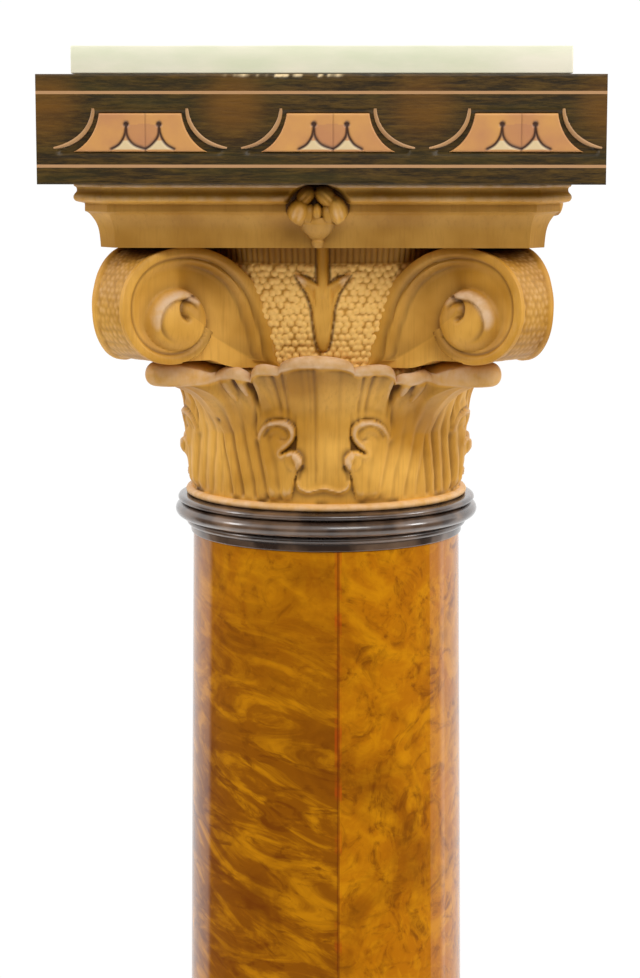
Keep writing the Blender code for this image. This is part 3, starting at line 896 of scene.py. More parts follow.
@dataclass(frozen=True)
class StudioPaper(Finish):
    """Matt white paper on the studio floor."""

    name: str = "studio_paper_matt"
    white: str = "#fbfbfa"
    roughness: float = 0.9

    def fill(self, tree: bpy.types.NodeTree, shader: bpy.types.Node) -> None:
        """Sets a plain matt white.

        Args:
            tree: the material's node tree.
            shader: its principled shader.
        """
        shader.inputs["Base Color"].default_value = linear(self.white)
        shader.inputs["Roughness"].default_value = self.roughness


@dataclass(frozen=True)
class Lip:
    """One place on the leaf edge, in millimetres and degrees."""

    height: float
    reach: float
    roll: float
    start: float
    end: float
    pocket: float

    def values(self) -> Field:
        """The six sizes as an array."""
        return np.array([self.height, self.reach, self.roll, self.start, self.end, self.pocket])


@dataclass(frozen=True)
class Lobe:
    """A lobe of the leaf edge between two angles from the middle of a side."""

    start: float
    end: float
    peak: Lip
    before: Lip
    after: Lip


@dataclass(frozen=True)
class Flute:
    """A hollow in the leaves: degrees at its foot and head, height and depth in millimetres."""

    centre: tuple[float, float]
    half: tuple[float, float]
    foot: float
    depth: float


FRONT_NOTCH = Lip(87.4, 102.6, 2.4, -25, 180, 2.5)
LEAF_GAP = Lip(79.8, 96.4, 1.8, -10, 180, 1.0)
CORNER_NOTCH = Lip(81.6, 107.0, 2.6, -30, 150, 2.0)


@dataclass
class Capital:
    """The carved bell with its eight leaves, in millimetres above the capital's foot."""

    root: float = 84.3
    top_radius: float = 104.0
    flare: float = 1.6
    fillet: float = 4.0
    columns: int = 720
    face_rows: int = 90
    ground_columns: int = 800
    ground_rows: int = 98
    core: float = 78.0
    body: float = 88.0
    parting: float = 44.0
    upright: float = 0.42
    crown: tuple[float, float] = (147, 149)
    foot_bead: Path = ((86.4, 0.1), (87.5, 0.9), (87.7, 2.2), (87.0, 3.5), (85.0, 4.2))
    stem_half: float = 3.1
    pendant_top: float = 142.3
    pendant_dip: float = 8.5
    pendant_edge: Path = (
        (96.0, 0.5), (97.5, 2.4), (102.6, 4.0), (112.3, 5.3), (122.0, 6.3), (130.5, 9.0),
        (135.3, 12.0), (140.2, 15.0), (142.0, 15.6),
    )
    stipple: float = 4.2
    right_lobe_drop: float = 3.6
    lip_shift: float = 2.1
    worm_hole: tuple[float, float] = (315.5, 52.0)
    lobes: tuple[Lobe, ...] = (
        Lobe(-12.6, 12.6, Lip(95.0, 107.6, 4.1, -35, 180, 4.5), FRONT_NOTCH, FRONT_NOTCH),
        Lobe(12.6, 25.9, Lip(89.2, 104.4, 3.5, -35, 180, 3.5), FRONT_NOTCH, LEAF_GAP),
        Lobe(25.9, 37.4, Lip(87.2, 106.2, 4.2, -35, 170, 3.5), LEAF_GAP, CORNER_NOTCH),
        Lobe(37.4, 52.6, Lip(90.5, 143.5, 7.2, -90, 95, 0.5), CORNER_NOTCH, CORNER_NOTCH),
    )
    hook: Path = (
        (41.5, 45.0), (38.0, 50.6), (33.2, 54.2), (27.7, 56.0), (22.0, 55.6), (18.0, 53.2),
        (16.2, 49.6), (16.6, 45.6), (18.6, 41.4), (21.6, 37.8),
    )
    volute: Path = (
        (37.0, 44.6), (34.2, 48.6), (30.0, 51.4), (25.6, 51.6), (21.8, 49.4), (20.6, 46.0),
        (22.4, 43.0), (25.0, 43.8),
    )
    curl: Path = (
        (25.4, 34.8), (22.0, 36.4), (18.6, 37.0), (15.4, 36.0), (13.2, 33.6), (12.4, 30.4),
        (13.4, 27.2), (15.6, 24.8),
    )
    notch: Path = ((16.4, 44.6), (17.6, 41.8), (20.2, 38.9), (24.8, 36.2))
    gap: Path = ((13.4, 26.4), (15.0, 23.6), (15.8, 19.6))
    tongue: Path = (
        (15.6, 25.6), (16.4, 21.6), (16.4, 17.4), (15.0, 13.9), (11.8, 12.0), (8.2, 11.6),
        (4.4, 12.6), (0.0, 13.6),
    )
    flutes: tuple[Flute, ...] = (
        Flute((6.2, 6.2), (5.8, 5.8), 34, 1.9),
        Flute((16.0, 18.6), (1.8, 5.8), 50, 2.2),
        Flute((26.5, 30.6), (3.0, 5.4), 40, 2.0),
        Flute((41.2, 41.2), (4.0, 4.0), 30, 1.5),
    )
    # head and foot in degrees, depth
    creases: tuple[tuple[float, float, float], ...] = (
        (13.8, 13.4, 1.1), (17.6, 15.6, 0.6), (27.4, 25.4, 0.7),
    )
    # place in degrees, height of the low end, width
    folds: tuple[tuple[float, float, float], ...] = ((28.6, 70.0, 2.6), (33.6, 67.0, 3.0))
    # places in degrees
    ribs: tuple[float, ...] = (17.6, 23.4, 29.2, 35.6, 41.6)
    # place on the stalk, depth, width
    veins: tuple[tuple[float, float, float], ...] = (
        (-4.6, 0.7, 1.1), (-7.4, 0.4, 0.9), (1.4, 0.25, 1.2), (9.2, 0.3, 1.2), (-11.0, 0.25, 1.2),
    )

    def __post_init__(self) -> None:
        """Reads the capital's place and height off the frame."""
        low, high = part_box("capital_bell")
        self.base = low.z
        self.height = (high.z - low.z) / MM

    def bell(self, z: Field) -> Field:
        """Radius of the plain bell at a height."""
        return mix(self.root, self.top_radius, (np.maximum(z, 0) / self.height) ** self.flare)

    def lips(self, signed: Field) -> Field:
        """The leaf edge all round.

        Args:
            signed: angle from the middle of the nearest side, -45 to 45 degrees.

        Returns:
            The six sizes of the edge in each column.
        """
        side = np.abs(signed + self.lip_shift * ease(25.9, 12.6, np.abs(signed)))
        out = np.zeros((6, len(side)))
        for lobe in self.lobes:
            here = (side >= lobe.start) & (side <= lobe.end)
            along = (side[here] - lobe.start) / (lobe.end - lobe.start)
            arch = np.sqrt(np.maximum(0.0, 1 - (2 * along - 1) ** 2))
            ends = mix(lobe.before.values()[:, None], lobe.after.values()[:, None], along)
            out[:, here] = mix(ends, lobe.peak.values()[:, None], arch)
        out[0] -= self.right_lobe_drop * ridge(signed - 30.6, 4.0)
        return out

    def face_relief(self, signed: Field, z: Field) -> Field:
        """The carving on the face of the leaves.

        Args:
            signed: angle from the middle of the nearest side, in degrees.
            z: height above the capital's foot.

        Returns:
            How far the carving stands out.
        """
        a = np.abs(signed)
        off = np.radians(signed) * self.body
        x = np.abs(off)
        relief = 0.15 * hand_wobble(off, z, 6.0)
        high = ease(52, 84, z)
        for flute in self.flutes:
            across = (a - mix(*flute.centre, high)) / mix(*flute.half, high)
            relief -= flute.depth * ease(flute.foot, 80, z) * np.maximum(0, 1 - across**2)
        for top, foot, deep in self.creases:
            line = np.radians(a - mix(foot, top, high)) * self.body
            relief += deep * (0.8 * ridge(line - 2.2, 1.8) - ridge(line, 1.2)) * ease(50, 66, z)
        for fold, low_end, wide in self.folds:
            drop = dome(np.radians(a - fold) * self.body, z - low_end - 9.0, wide, 11.0)
            relief += 2.4 * drop * (z < low_end + 16)
        gap = np.hypot((a - 25.9) / 1.0, (z - 70) / 6.0)
        relief -= 2.8 * ridge(gap, 1.0)
        relief -= 1.0 * ridge(np.radians(a - mix(27.4, 25.9, high)) * self.body, 1.0) * ease(40, 60, z)
        relief += self.finger_ribs(a, z) * mix(1.0, 0.45, ease(-3, 3, signed))
        relief += self.side_leaf(x, z)
        tongue = smooth_path(self.tongue, 4)
        outline = [*tongue, (-1.0, 14.0), (-1.0, 64.0), (16.0, 64.0), (16.4, 40.0), (18.5, 33.0)]
        relief += 1.7 * plate(x, z, outline, 1.6) * (1 - ease(46, 62, z))
        relief += 1.6 * ridge(path_distance(x, z, tongue), 1.5)
        stalk = ease(15, 20, z) * (1 - ease(84, 93, z))
        for place, depth, width in self.veins:
            relief -= depth * ridge(off - place, width) * stalk
        return relief + 0.4 * ridge(off + 2.4, 1.1) * stalk

    def finger_ribs(self, a: Field, z: Field) -> Field:
        """The upright ribs of the lower leaves, which lean towards the corners.

        Args:
            a: angle from the middle of the side, in degrees.
            z: height above the capital's foot.

        Returns:
            How far the ribs stand out.
        """
        at = a - 4.6 * ease(4, 50, z) * ease(12, 24, a)
        relief = np.zeros_like(a)
        for number, rib in enumerate(self.ribs):
            here = np.radians(at - rib) * self.body
            deep = 1.4 if number % 2 else 1.0
            relief += 0.8 * ridge(here + 3.6, 2.8) - deep * ridge(here, 1.9)
        return relief * ease(5, 8, z) * (1 - ease(40, 68, z)) * ease(13.5, 16, a)

    def side_leaf(self, x: Field, z: Field) -> Field:
        """The blade beside the tongue whose tip curls in, and the small curl under it.

        Args:
            x: distance from the middle of the side, on the surface.
            z: height above the capital's foot.

        Returns:
            How far they stand out.
        """
        hook, curl = smooth_path(self.hook, 4), smooth_path(self.curl, 4)
        outline = [*hook, *curl, (17.6, 20.0), (18.4, 14.0), (20.5, 6.0), (50.0, 6.0), (50.0, 40.0)]
        blade = plate(x, z, outline, 2.6)
        relief = 3.0 * blade * (1 - ease(30, 47, x)) * ease(5, 12, z)
        within = inside(x, z, outline) * 1.0
        rim = path_distance(x, z, hook)
        relief += 1.3 * ridge(rim - 1.6, 2.6) * ease(36, 44, z) * mix(0.45, 1.0, ease(15, 24, x))
        relief -= within * 1.1 * ridge(path_distance(x, z, smooth_path(self.volute, 4)), 1.3)
        relief -= within * 0.5 * ridge(rim - 8.6, 1.6) * ease(40, 46, z)
        relief += 1.1 * dome(x - 17.4, z - 30.8, 5.6, 6.4)
        relief += 1.2 * ridge(path_distance(x, z, curl) - 1.4, 1.9) * within * ease(26, 30, z)
        relief -= 1.2 * ridge(path_distance(x, z, self.notch), 1.1)
        return relief - 1.4 * ridge(path_distance(x, z, self.gap), 1.9)

    def leaves(self, finish: Finish) -> bpy.types.Object:
        """Builds the leaves as one closed ring.

        Args:
            finish: their finish.

        Returns:
            The new object.
        """
        turn = np.linspace(0, 360, self.columns, endpoint=False)
        signed = (turn + 45) % 90 - 45
        height, reach, roll, start, end, pocket = self.lips(signed)
        centre = np.stack([reach - roll, height - roll])
        first = np.radians(start)
        touch = centre + roll * np.stack([np.cos(first), np.sin(first)])
        run = np.stack([-np.sin(first), np.cos(first)])
        foot = np.stack([np.full_like(reach, self.root + 1.5), np.full_like(reach, self.parting)])
        spread = touch[0] - foot[0]
        lift = foot + np.stack([0.28 * spread, np.full_like(reach, 26.0)])
        hook = touch - run * mix(10.0, 22.0, np.clip(spread / 50, 0, 1))
        share = np.linspace(0, 1, self.face_rows)[:, None]
        upright = self.upright
        t = np.clip((share - upright) / (1 - upright), 0, 1)
        s = 1 - t
        curve = [
            s**3 * foot[k] + 3 * s * s * t * lift[k] + 3 * s * t * t * hook[k] + t**3 * touch[k]
            for k in (0, 1)
        ]
        rise = share / upright
        radius = np.where(share < upright, mix(self.root - 0.8, self.root + 1.5, rise), curve[0])
        z = np.where(share < upright, mix(self.fillet + 0.6, self.parting, rise), curve[1])
        relief = self.face_relief(np.broadcast_to(signed, z.shape), z)
        hole_turn, hole_z = self.worm_hole
        hole = ridge(np.hypot(np.radians(turn - hole_turn) * self.body, z - hole_z), 1.5)
        relief = (relief - 1.4 * hole) * (1 - ease(0.94, 1.0, share))
        dr, dz = np.gradient(radius, axis=0), np.gradient(z, axis=0)
        long = np.hypot(dr, dz)
        radius, z = radius + relief * dz / long, z - relief * dr / long
        rolled = np.radians(mix(start, end, np.linspace(0.08, 1, 13)[:, None]))
        lip_r, lip_z = centre[0] + roll * np.cos(rolled), centre[1] + roll * np.sin(rolled)
        floor = lip_z[-1] - pocket
        back = np.linspace(0.2, 1, 6)[:, None]
        back_r = mix(lip_r[-1], self.bell(floor) - 0.5, back)
        back_z = mix(lip_z[-1], floor, back**0.6)
        feet = np.array([(self.core, 0.0), *self.foot_bead])
        base_r, base_z = feet[:, :1] + 0 * turn, feet[:, 1:] + 0 * turn
        r = np.concatenate([base_r, radius, lip_r, back_r, self.core + 0 * turn[None]])
        h = np.concatenate([base_z, z, lip_z, back_z, floor[None]])
        stand = relief - soften(relief, 14)
        face = slice(len(feet), len(feet) + self.face_rows)
        lip = slice(face.stop, face.stop + len(lip_r))
        worn, sunk = np.zeros_like(r), np.zeros_like(r)
        worn[1 : face.start] = 0.7
        worn[face] = np.maximum(np.clip(stand * 0.62 - 0.14, 0, 0.8), 0.8 * ease(0.965, 1.0, share))
        inner_lips = mix(0.55, 1.0, ease(42, 36, np.abs(signed)))
        worn[lip] = mix(0.7, 1.0, ease(0.12, 0.5, np.linspace(0, 1, len(lip_r))))[:, None] * inner_lips
        worn[lip.stop : -1] = 0.5 * (1 - back)
        # Painted shade: besides the recesses of the carving (painted shade with some stain), the hollow
        # share darkens a band under the lips, a patchy line along the foot and the worm hole.
        under = ease(0.72, 0.93, share) * (1 - ease(0.94, 0.97, share))
        patches = ease(-0.2, 0.9, hand_wobble(turn * 1.6, 0 * z, 6.0))
        base_shade = (1 - ease(4.8, 8.0, z)) * (share < upright) * patches
        sunk[face] = np.maximum(np.clip(-stand * 0.7, 0, 0.9) + 0.22 * under + 0.75 * base_shade, hole)
        # Painted shade on the hidden back and floor behind the lips.
        sunk[-2:] = 0.8
        around = np.radians(turn - 90)
        points = np.stack([r * np.cos(around), r * np.sin(around), h + self.base / MM], axis=-1) * MM
        piece = Carving("capital_leaves")
        piece.grid(points, wrap=True, loop=True, wear=worn, hollow=sunk)
        return piece.build(finish.material())

    def pendant(self, x: Field, z: Field) -> tuple[Field, Field, Field]:
        """The stem and the pointed leaf that hangs from it.

        Args:
            x: distance from the middle of the side, signed.
            z: height above the capital's foot.

        Returns:
            How far they stand out, how worn they are, and the distance inside their edge.
        """
        a = np.abs(x)
        half = np.interp(z, *zip(*self.pendant_edge), left=-9, right=-9)
        top = self.pendant_top - self.pendant_dip * np.clip(1 - a / 15, 0, 1) ** 1.3
        depth = np.minimum(half - a, (top - z) * 0.8)
        leaf = np.sqrt(1 - (1 - np.clip(depth / 1.8, 0, 1)) ** 2) * (depth > 0)
        rib = np.interp(z, (97, 120, 136), (1.6, 3.6, 4.0))
        sunk = np.clip((depth - 1.8) / 1.5, 0, 1) * ease(rib, rib + 1.5, a) * ease(112, 124, z)
        stem = np.sqrt(np.maximum(0, 1 - (a / self.stem_half) ** 2)) * ease(116, 132, z)
        relief = 3.0 * leaf - 1.8 * sunk + 2.2 * ease(128, 140, z) * leaf * ease(4, 12, a)
        relief = np.maximum(relief, 3.7 * stem)
        wear = 0.8 * leaf * ease(130, 138, z) * ease(7.0, 12.0, a) * (1 - ease(2.0, 5.0, depth))
        return relief, wear, np.maximum(depth, np.where(z >= 132, self.stem_half - a, -9.0))

    def ground(self, finish: Finish) -> bpy.types.Object:
        """Builds the punched ground of the bell, with its stems and pointed leaves.

        Args:
            finish: its finish.

        Returns:
            The new object.
        """
        turn = np.linspace(0, 360, self.ground_columns, endpoint=False)
        signed = (turn + 45) % 90 - 45
        z = np.linspace(80, self.height, self.ground_rows)[:, None] + 0 * turn
        bell = self.bell(z)
        relief, wear, depth = self.pendant(np.radians(signed) * bell, z)
        bare = (depth < -0.3) * 1.0
        radius = 96.0
        punch = punch_marks(np.radians(turn) * radius, z, self.stipple, radius * math.tau)
        band = bare * ease(*self.crown, z)
        punched = bare * (1 - ease(*self.crown, z))
        flutes = band * ridge(np.sin(np.radians(turn) * 90), 0.5)
        relief = relief + 1.5 * punch * punched - 0.8 * flutes
        r = np.concatenate([bell + relief, np.full((2, len(turn)), self.core)])
        z = np.concatenate([z, z[-1:], z[:1]])
        rows = self.ground_rows
        worn, sunk, gilt = np.zeros_like(r), np.zeros_like(r), np.zeros_like(r)
        worn[:rows] = wear
        # Painted highlight: the tops of the punch marks are painted pale gold.
        gilt[:rows] = ease(0.0, 0.6, punch) * punched
        # Painted shade between the punch marks, a painted shadow of the abacus over the crown band and its
        # flutes, and painted shade with some stain just outside the stems and pointed leaves.
        between = 0.2 * (1 - ease(0.0, 0.4, punch)) * punched
        sunk[:rows] = np.maximum(0.35 * band + 0.3 * flutes, between)
        sunk[:rows] = np.maximum(sunk[:rows], 0.9 * ridge(depth + 0.9, 0.8))
        around = np.radians(turn - 90)
        points = np.stack([r * np.cos(around), r * np.sin(around), z + self.base / MM], axis=-1) * MM
        piece = Carving("capital_ground")
        piece.grid(points, wrap=True, loop=True, wear=worn, hollow=sunk, gilt=gilt)
        return piece.build(finish.material())

    def build(self, finish: Finish) -> None:
        """Builds both pieces in place of the plain bell.

        Args:
            finish: its finish.
        """
        for piece in (self.leaves(finish), self.ground(finish)):
            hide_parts("capital_bell")


@dataclass
class CornerScroll:
    """A corner scroll, in millimetres: d runs out along the corner, t across it, z up.

    The places of rim, groove, line and step are distances inside the scroll's outline.
    """

    corner: Corner
    rays: int = 224
    rings: int = 44
    band_steps: int = 30
    edge_half: float = 13.5
    spread: float = math.tan(math.radians(15.27))
    sweep: float = 0.012
    sweep_start: float = 103.0
    eye_share: float = 0.44
    boss_at: tuple[float, float] = (-1.4, -5.2)
    boss_radius: float = 19.2
    boss_height: float = 12.8
    boss_sink: float = 7.8
    boss_core: float = 14.0
    rim_at: float = 2.6
    rim_half: float = 2.9
    groove_at: float = 6.2
    line_at: float = 8.4
    step_at: float = 10.8
    foot_sink: float = 7.4
    stipple: float = 3.8
    stem_angle: float = -31.0
    stem_drop: float = 5.5
    roll: Path = (
        (-31.0, 67.8), (-27.7, 63.3), (-14.0, 56.0), (0.0, 51.0), (45.0, 42.0), (90.0, 37.4),
        (135.0, 37.9), (180.0, 36.0), (225.0, 33.6), (270.0, 29.3), (300.0, 26.2), (330.0, 22.4),
    )
    comma: Path = ((13.3, 9.1), (9.4, 8.9), (5.5, 7.6), (-0.6, 4.7), (-1.4, -0.6), (1.0, -3.2))

    def __post_init__(self) -> None:
        """Reads the scroll's place off the frame."""
        low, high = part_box(f"scroll_{self.corner.name.lower()}")
        self.foot, self.top = low.z / MM, high.z / MM
        far = max(abs(low.x), abs(high.x)) / MM
        self.reach = far * math.sqrt(2) - self.edge_half
        self.eye_d = self.reach - dict(self.roll)[180.0]
        self.eye_z = mix(self.foot, self.top, self.eye_share)

    def outline(self, angle: Field) -> Field:
        """Distance of the scroll's edge from the eye, at angles from the stem's foot on."""
        return np.interp(angle, *zip(*smooth_path(self.roll, 6)))

    def half_width(self, d: Field) -> Field:
        """Half the scroll's width at a distance from the column's axis."""
        swept = self.sweep * np.maximum(0, self.sweep_start - d) ** 2
        return self.edge_half + self.spread * (self.reach - d) + swept

    def relief(self, across: Field, up: Field) -> tuple[Field, Field, Field]:
        """The carving on a face, in directions from the eye.

        Args:
            across: distance towards the column.
            up: distance upwards.

        Returns:
            How far it stands out of the flat face, how pale from wear and painted highlight, and how dark
            from painted shade.
        """
        radius = np.hypot(across, up)
        angle = np.degrees(np.arctan2(up, across))
        angle = np.where(angle < self.stem_angle, angle + 360, angle)
        depth = self.outline(angle) - radius
        stem = 1 - ease(50, 100, angle)
        rim = np.sqrt(np.maximum(0, 1 - ((depth - self.rim_at) / self.rim_half) ** 2))
        groove, step = ridge(depth - self.groove_at, 0.9), ridge(depth - self.step_at, 0.9)
        relief = rim - ease(3.6, 14.0, depth) * mix(3.4, 7.2, stem)
        relief -= 1.3 * groove * mix(0.4, 1.0, stem)
        relief += stem * (ridge(depth - self.line_at, 1.1) - step)
        relief = np.where(depth < -0.01, -self.foot_sink, relief)
        boss_x, boss_z = across - self.boss_at[0], up - self.boss_at[1]
        boss_r = np.hypot(boss_x, boss_z)
        turn = np.degrees(np.arctan2(boss_z, boss_x)) % 360
        swell = np.sqrt(np.maximum(0, 1 - (boss_r / self.boss_radius) ** 2)) ** 0.75
        boss = self.boss_height * swell - self.boss_sink
        boss = np.maximum(np.where(boss_r > self.boss_core, relief, -self.boss_sink), boss)
        relief = np.where(boss_r < self.boss_radius, boss, relief)
        crest = ridge(boss_r - mix(15.8, 14.6, ease(60, 150, turn)), 2.3)
        crest *= ease(26, 60, turn) * (1 - ease(160, 215, turn))
        cut = ridge(boss_r - 12.4, 0.9) * ease(30, 50, turn) * (1 - ease(200, 260, turn))
        comma = ridge(path_distance(across, up, smooth_path(self.comma, 4)), 1.6) * (boss_r < 17.5)
        relief += 1.1 * crest - 1.1 * cut - 3.2 * comma
        relief += 0.12 * hand_wobble(across, up, 7.0)
        # Painted highlight: the crest on the upper side of the boss is painted pale where light catches it;
        # the pale on the rim's edge is wear.
        wear = np.clip(1.3 * crest + 0.2 * rim * (depth > 0) * (depth < 3), 0, 1)
        # Painted shade: a shadow round the foot of the boss, strongest below and to the right, shade in the
        # comma, the cut and the grooves, and on the hollow stem face, darker beside the boss and towards
        # the lower end.
        foot = ridge(boss_r - self.boss_radius - 0.8, 2.6) * (0.2 + 0.3 * ease(90, 30, np.abs(turn - 330)))
        sunk = 0.75 * comma + 0.6 * cut + foot
        sunk += 0.55 * groove + 0.4 * stem * step
        beside = ease(30, 17, boss_r) * (boss_r > self.boss_radius)
        sunk += stem * ease(5, 16, depth) * (0.14 + 0.22 * beside + 0.2 * ease(-14, -24, up))
        return relief, wear, np.clip(sunk, 0, 0.9)

    def build(self, finish: Finish) -> None:
        """Builds the scroll in place of its plain solid.

        Args:
            finish: its finish.
        """
        turn = np.linspace(self.stem_angle, self.stem_angle + 360, self.rays, endpoint=False)
        angle = np.radians(turn)
        below = self.eye_z - self.foot + self.stem_drop * ease(308, 320, turn)
        level = below / np.maximum(1e-3, -np.sin(angle))
        outer = np.where((turn > 250), np.maximum(level, self.outline(turn)), self.outline(turn))
        share = np.linspace(1, 0, self.rings)[:, None] ** 0.9
        across, up = share * outer * np.cos(angle), share * outer * np.sin(angle)
        relief, wear, sunk = self.relief(across, up)
        d = self.eye_d - across
        flat = self.half_width(d)
        corner_turn = math.radians(self.corner.value)
        name = f"scroll_{self.corner.name.lower()}"
        piece = Carving(f"{name}_carved")
        for side in (-1, 1):
            points = self.place(d, side * (flat + relief), up, corner_turn)
            piece.grid(points, wrap=True, flip=side > 0, wear=wear, hollow=sunk)
        half = flat[:1] + relief[:1]
        t = np.linspace(-1, 1, self.band_steps)[:, None] * half
        inset = half - np.abs(t)
        marks = punch_marks(t, outer * angle, self.stipple, 400.0)
        channel = ease(3.0, 4.2, inset)
        radius = outer - channel * (1.5 - 0.5 * marks) - 0.6 * (1 - np.clip(inset, 0, 1))
        points = self.place(self.eye_d - radius * np.cos(angle), t, radius * np.sin(angle), corner_turn)
        points[0] = self.place(d[:1], -half, up[:1], corner_turn)[0]
        points[-1] = self.place(d[:1], half, up[:1], corner_turn)[0]
        # Darker in the punched channel and paler on its marks, and a painted shadow of the abacus over the
        # top of the band.
        stain = channel * mix(0.42, 0.12, marks) + 0.5 * ease(60, 90, turn) * (1 - ease(110, 140, turn))
        piece.grid(points, wrap=True, hollow=np.clip(stain, 0, 0.9), wear=0.35 * channel * marks)
        made = piece.build(finish.material())
        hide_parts(name)

    def place(self, d: Field, t: Field, up: Field, turn: float) -> Field:
        """Puts places on the scroll into the frame.

        Args:
            d: distance out along the corner.
            t: distance across it.
            up: height above the eye.
            turn: the corner's turn in radians.

        Returns:
            Points in metres.
        """
        x = d * math.cos(turn) - t * math.sin(turn)
        y = d * math.sin(turn) + t * math.cos(turn)
        return np.stack([x, y, up + self.eye_z + 0 * x], axis=-1) * MM


def turned_to(points: Field, side: Side) -> Field:
    """Turns points of the front side to another side.

    Args:
        points: points with the front at -Y.
        side: which side they go to.

    Returns:
        The turned points.
    """
    turn = math.radians(side.value)
    spin = np.array(
        [[math.cos(turn), -math.sin(turn), 0], [math.sin(turn), math.cos(turn), 0], [0, 0, 1]]
    )
    return points @ spin.T


def capped(rings: Field, foot: float, head: float) -> Field:
    """Closes a stack of rings towards the axis at both ends.

    Args:
        rings: rings of points from the foot up, in metres.
        foot: height of the axis's lower end.
        head: height of its upper end.

    Returns:
        The rings, with one drawn together on the axis at either end.
    """
    ends = np.zeros((2, 1, rings.shape[1], 3))
    ends[0, ..., 2], ends[1, ..., 2] = foot, head
    return np.concatenate([ends[0], rings, ends[1]])


@dataclass(frozen=True)
class Petal:
    """One petal of the flower, in millimetres and degrees."""

    x: float
    z: float
    length: float
    width: float
    lean: float
    rise: float

    def bump(self, x: Field, z: Field) -> Field:
        """The petal's form, with a soft crease along its middle.

        Args:
            x: distance to the right of the flower's middle.
            z: height above it.

        Returns:
            Heights from 0 to 1.
        """
        c, s = math.cos(math.radians(self.lean)), math.sin(math.radians(self.lean))
        along, across = (x - self.x) * c + (z - self.z) * s, (z - self.z) * c - (x - self.x) * s
        form = dome(along, across, self.length, self.width)
        folds = 0.2 * ridge(across, 1.5) + 0.12 * ridge(np.abs(across) - 3.2, 1.1)
        return form * (1 - folds * ease(self.length, -0.4 * self.length, along))


@dataclass
class Flower:
    """The carved flower in the middle of one side of the abacus, in millimetres."""

    side: Side
    half_width: float = 18.2
    half_height: float = 12.6
    middle: float = 23.6
    aside: float = -2.2
    rays: int = 128
    rings: int = 40
    ground: float = -6.5
    back: float = -16.0
    cup_top: float = -6.0
    cup_foot: float = -23.4
    cup_half_widths: Path = (
        (0, 10.2), (0.2, 10.4), (0.45, 8.2), (0.62, 5.6), (0.72, 3.6), (0.8, 3.9), (0.92, 3.4),
        (1, 2.6),
    )
    cup_stands: Path = (
        (0, -2.0), (0.2, -1.4), (0.5, -5.4), (0.7, -9.4), (0.8, -8.6), (1, -10.6),
    )
    petals: tuple[Petal, ...] = (
        Petal(-11.2, -3.6, 8.4, 6.2, 70, 4.2),
        Petal(11.6, -2.6, 9.2, 5.6, 108, 4.2),
        Petal(-6.6, 6.4, 6.4, 4.6, 52, 2.4),
        Petal(4.4, 6.0, 7.0, 5.2, 132, 4.0),
        Petal(-0.4, -2.8, 5.0, 3.0, 90, 2.8),
        Petal(-5.0, -4.6, 6.4, 3.4, 80, 0.8),
        Petal(5.6, -4.6, 6.4, 3.4, 100, 0.8),
    )

    def build(self, finish: Finish) -> None:
        """Builds the flower and its cup in place of the plain solid.

        Args:
            finish: its finish.
        """
        low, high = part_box("abacus_moulding")
        self.face, self.level = high.x / MM, low.z / MM + self.middle
        angle = np.linspace(0, math.tau, self.rays, endpoint=False)
        share = np.linspace(1, 0, self.rings)[:, None]
        x, z = share * self.half_width * np.cos(angle), share * self.half_height * np.sin(angle)
        out = np.full_like(x, self.ground) + 0.3 * hand_wobble(x, z, 3.0)
        for petal in self.petals:
            bump = petal.bump(x, z)
            form = mix(self.ground + 2, petal.rise, bump)
            out = np.where(bump > 0, np.maximum(out, form), out)
        name = f"flower_{self.side.name.lower()}"
        piece = Carving(f"{name}_carved")
        # Painted shade: darker where the carving lies low between the petals, painted shade with some
        # stain, and darker towards the top.
        sunk = np.clip(-(out + 2.5) / 4, 0, 1.0)
        sunk = np.maximum(0.95 * sunk, 0.4 * ease(3.0, -2.0, out) + 0.3 * ease(2.0, 12.0, z))
        worn = 0.7 * ease(1.0, 3.6, out) * ease(4, -6, z)
        piece.grid(self.place(x, out, z), wrap=True, hollow=sunk, wear=worn)
        edge, deep = x[:1], np.full_like(x[:1], self.back)
        rings = [
            self.place(edge, out[:1], z[:1]),
            self.place(edge, deep, z[:1]),
            self.place(0 * edge, deep, 0 * edge),
        ]
        # The walls of the pocket behind the petals are painted dark as shade.
        piece.grid(np.concatenate(rings), wrap=True, flip=True, hollow=np.full((3, 1), 0.6))
        self.cup(piece)
        made = piece.build(finish.material())
        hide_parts(name)

    def cup(self, piece: Carving) -> None:
        """Adds the cup under the petals, with three sepals and a knob at its foot.

        Args:
            piece: the mesh that takes it.
        """
        levels = np.linspace(0, 1, 40)[:, None]
        turn = np.linspace(0, math.tau, 48, endpoint=False)
        wide = np.interp(levels, *zip(*self.cup_half_widths))
        stand = np.interp(levels, *zip(*self.cup_stands))
        across = wide * np.cos(turn)
        sepals = 0.9 * np.abs(np.cos(1.5 * math.pi * np.cos(turn))) * (1 - ease(0.6, 0.75, levels))
        front = stand - 3.4 + 3.4 * np.abs(np.sin(turn)) ** 0.7 + sepals
        out = np.where(np.sin(turn) > 0, self.back - 1.0, front)
        body = self.place(across, out, mix(self.cup_top, self.cup_foot, levels) + 0 * across)
        ends = [body[row][None].mean(1, keepdims=True) + 0 * body[:1] for row in (0, -1)]
        # Painted shade on the cup: darker all over and most along both sides.
        stain = 0.25 + 0.5 * (1 - np.abs(np.sin(turn))) * (np.sin(turn) <= 0) + 0 * levels
        rings = np.concatenate([ends[0], body, ends[1]])
        piece.grid(rings, wrap=True, flip=True, hollow=np.pad(stain, ((1, 1), (0, 0))))

    def place(self, x: Field, out: Field, z: Field) -> Field:
        """Puts places on the flower into the frame.

        Args:
            x: distance to the right of its middle.
            out: distance in front of the abacus's top edge.
            z: height above its middle.

        Returns:
            Points in metres.
        """
        spot = np.stack([x + self.aside, -(self.face + out), z + self.level], axis=-1)
        return turned_to(spot * MM, self.side)


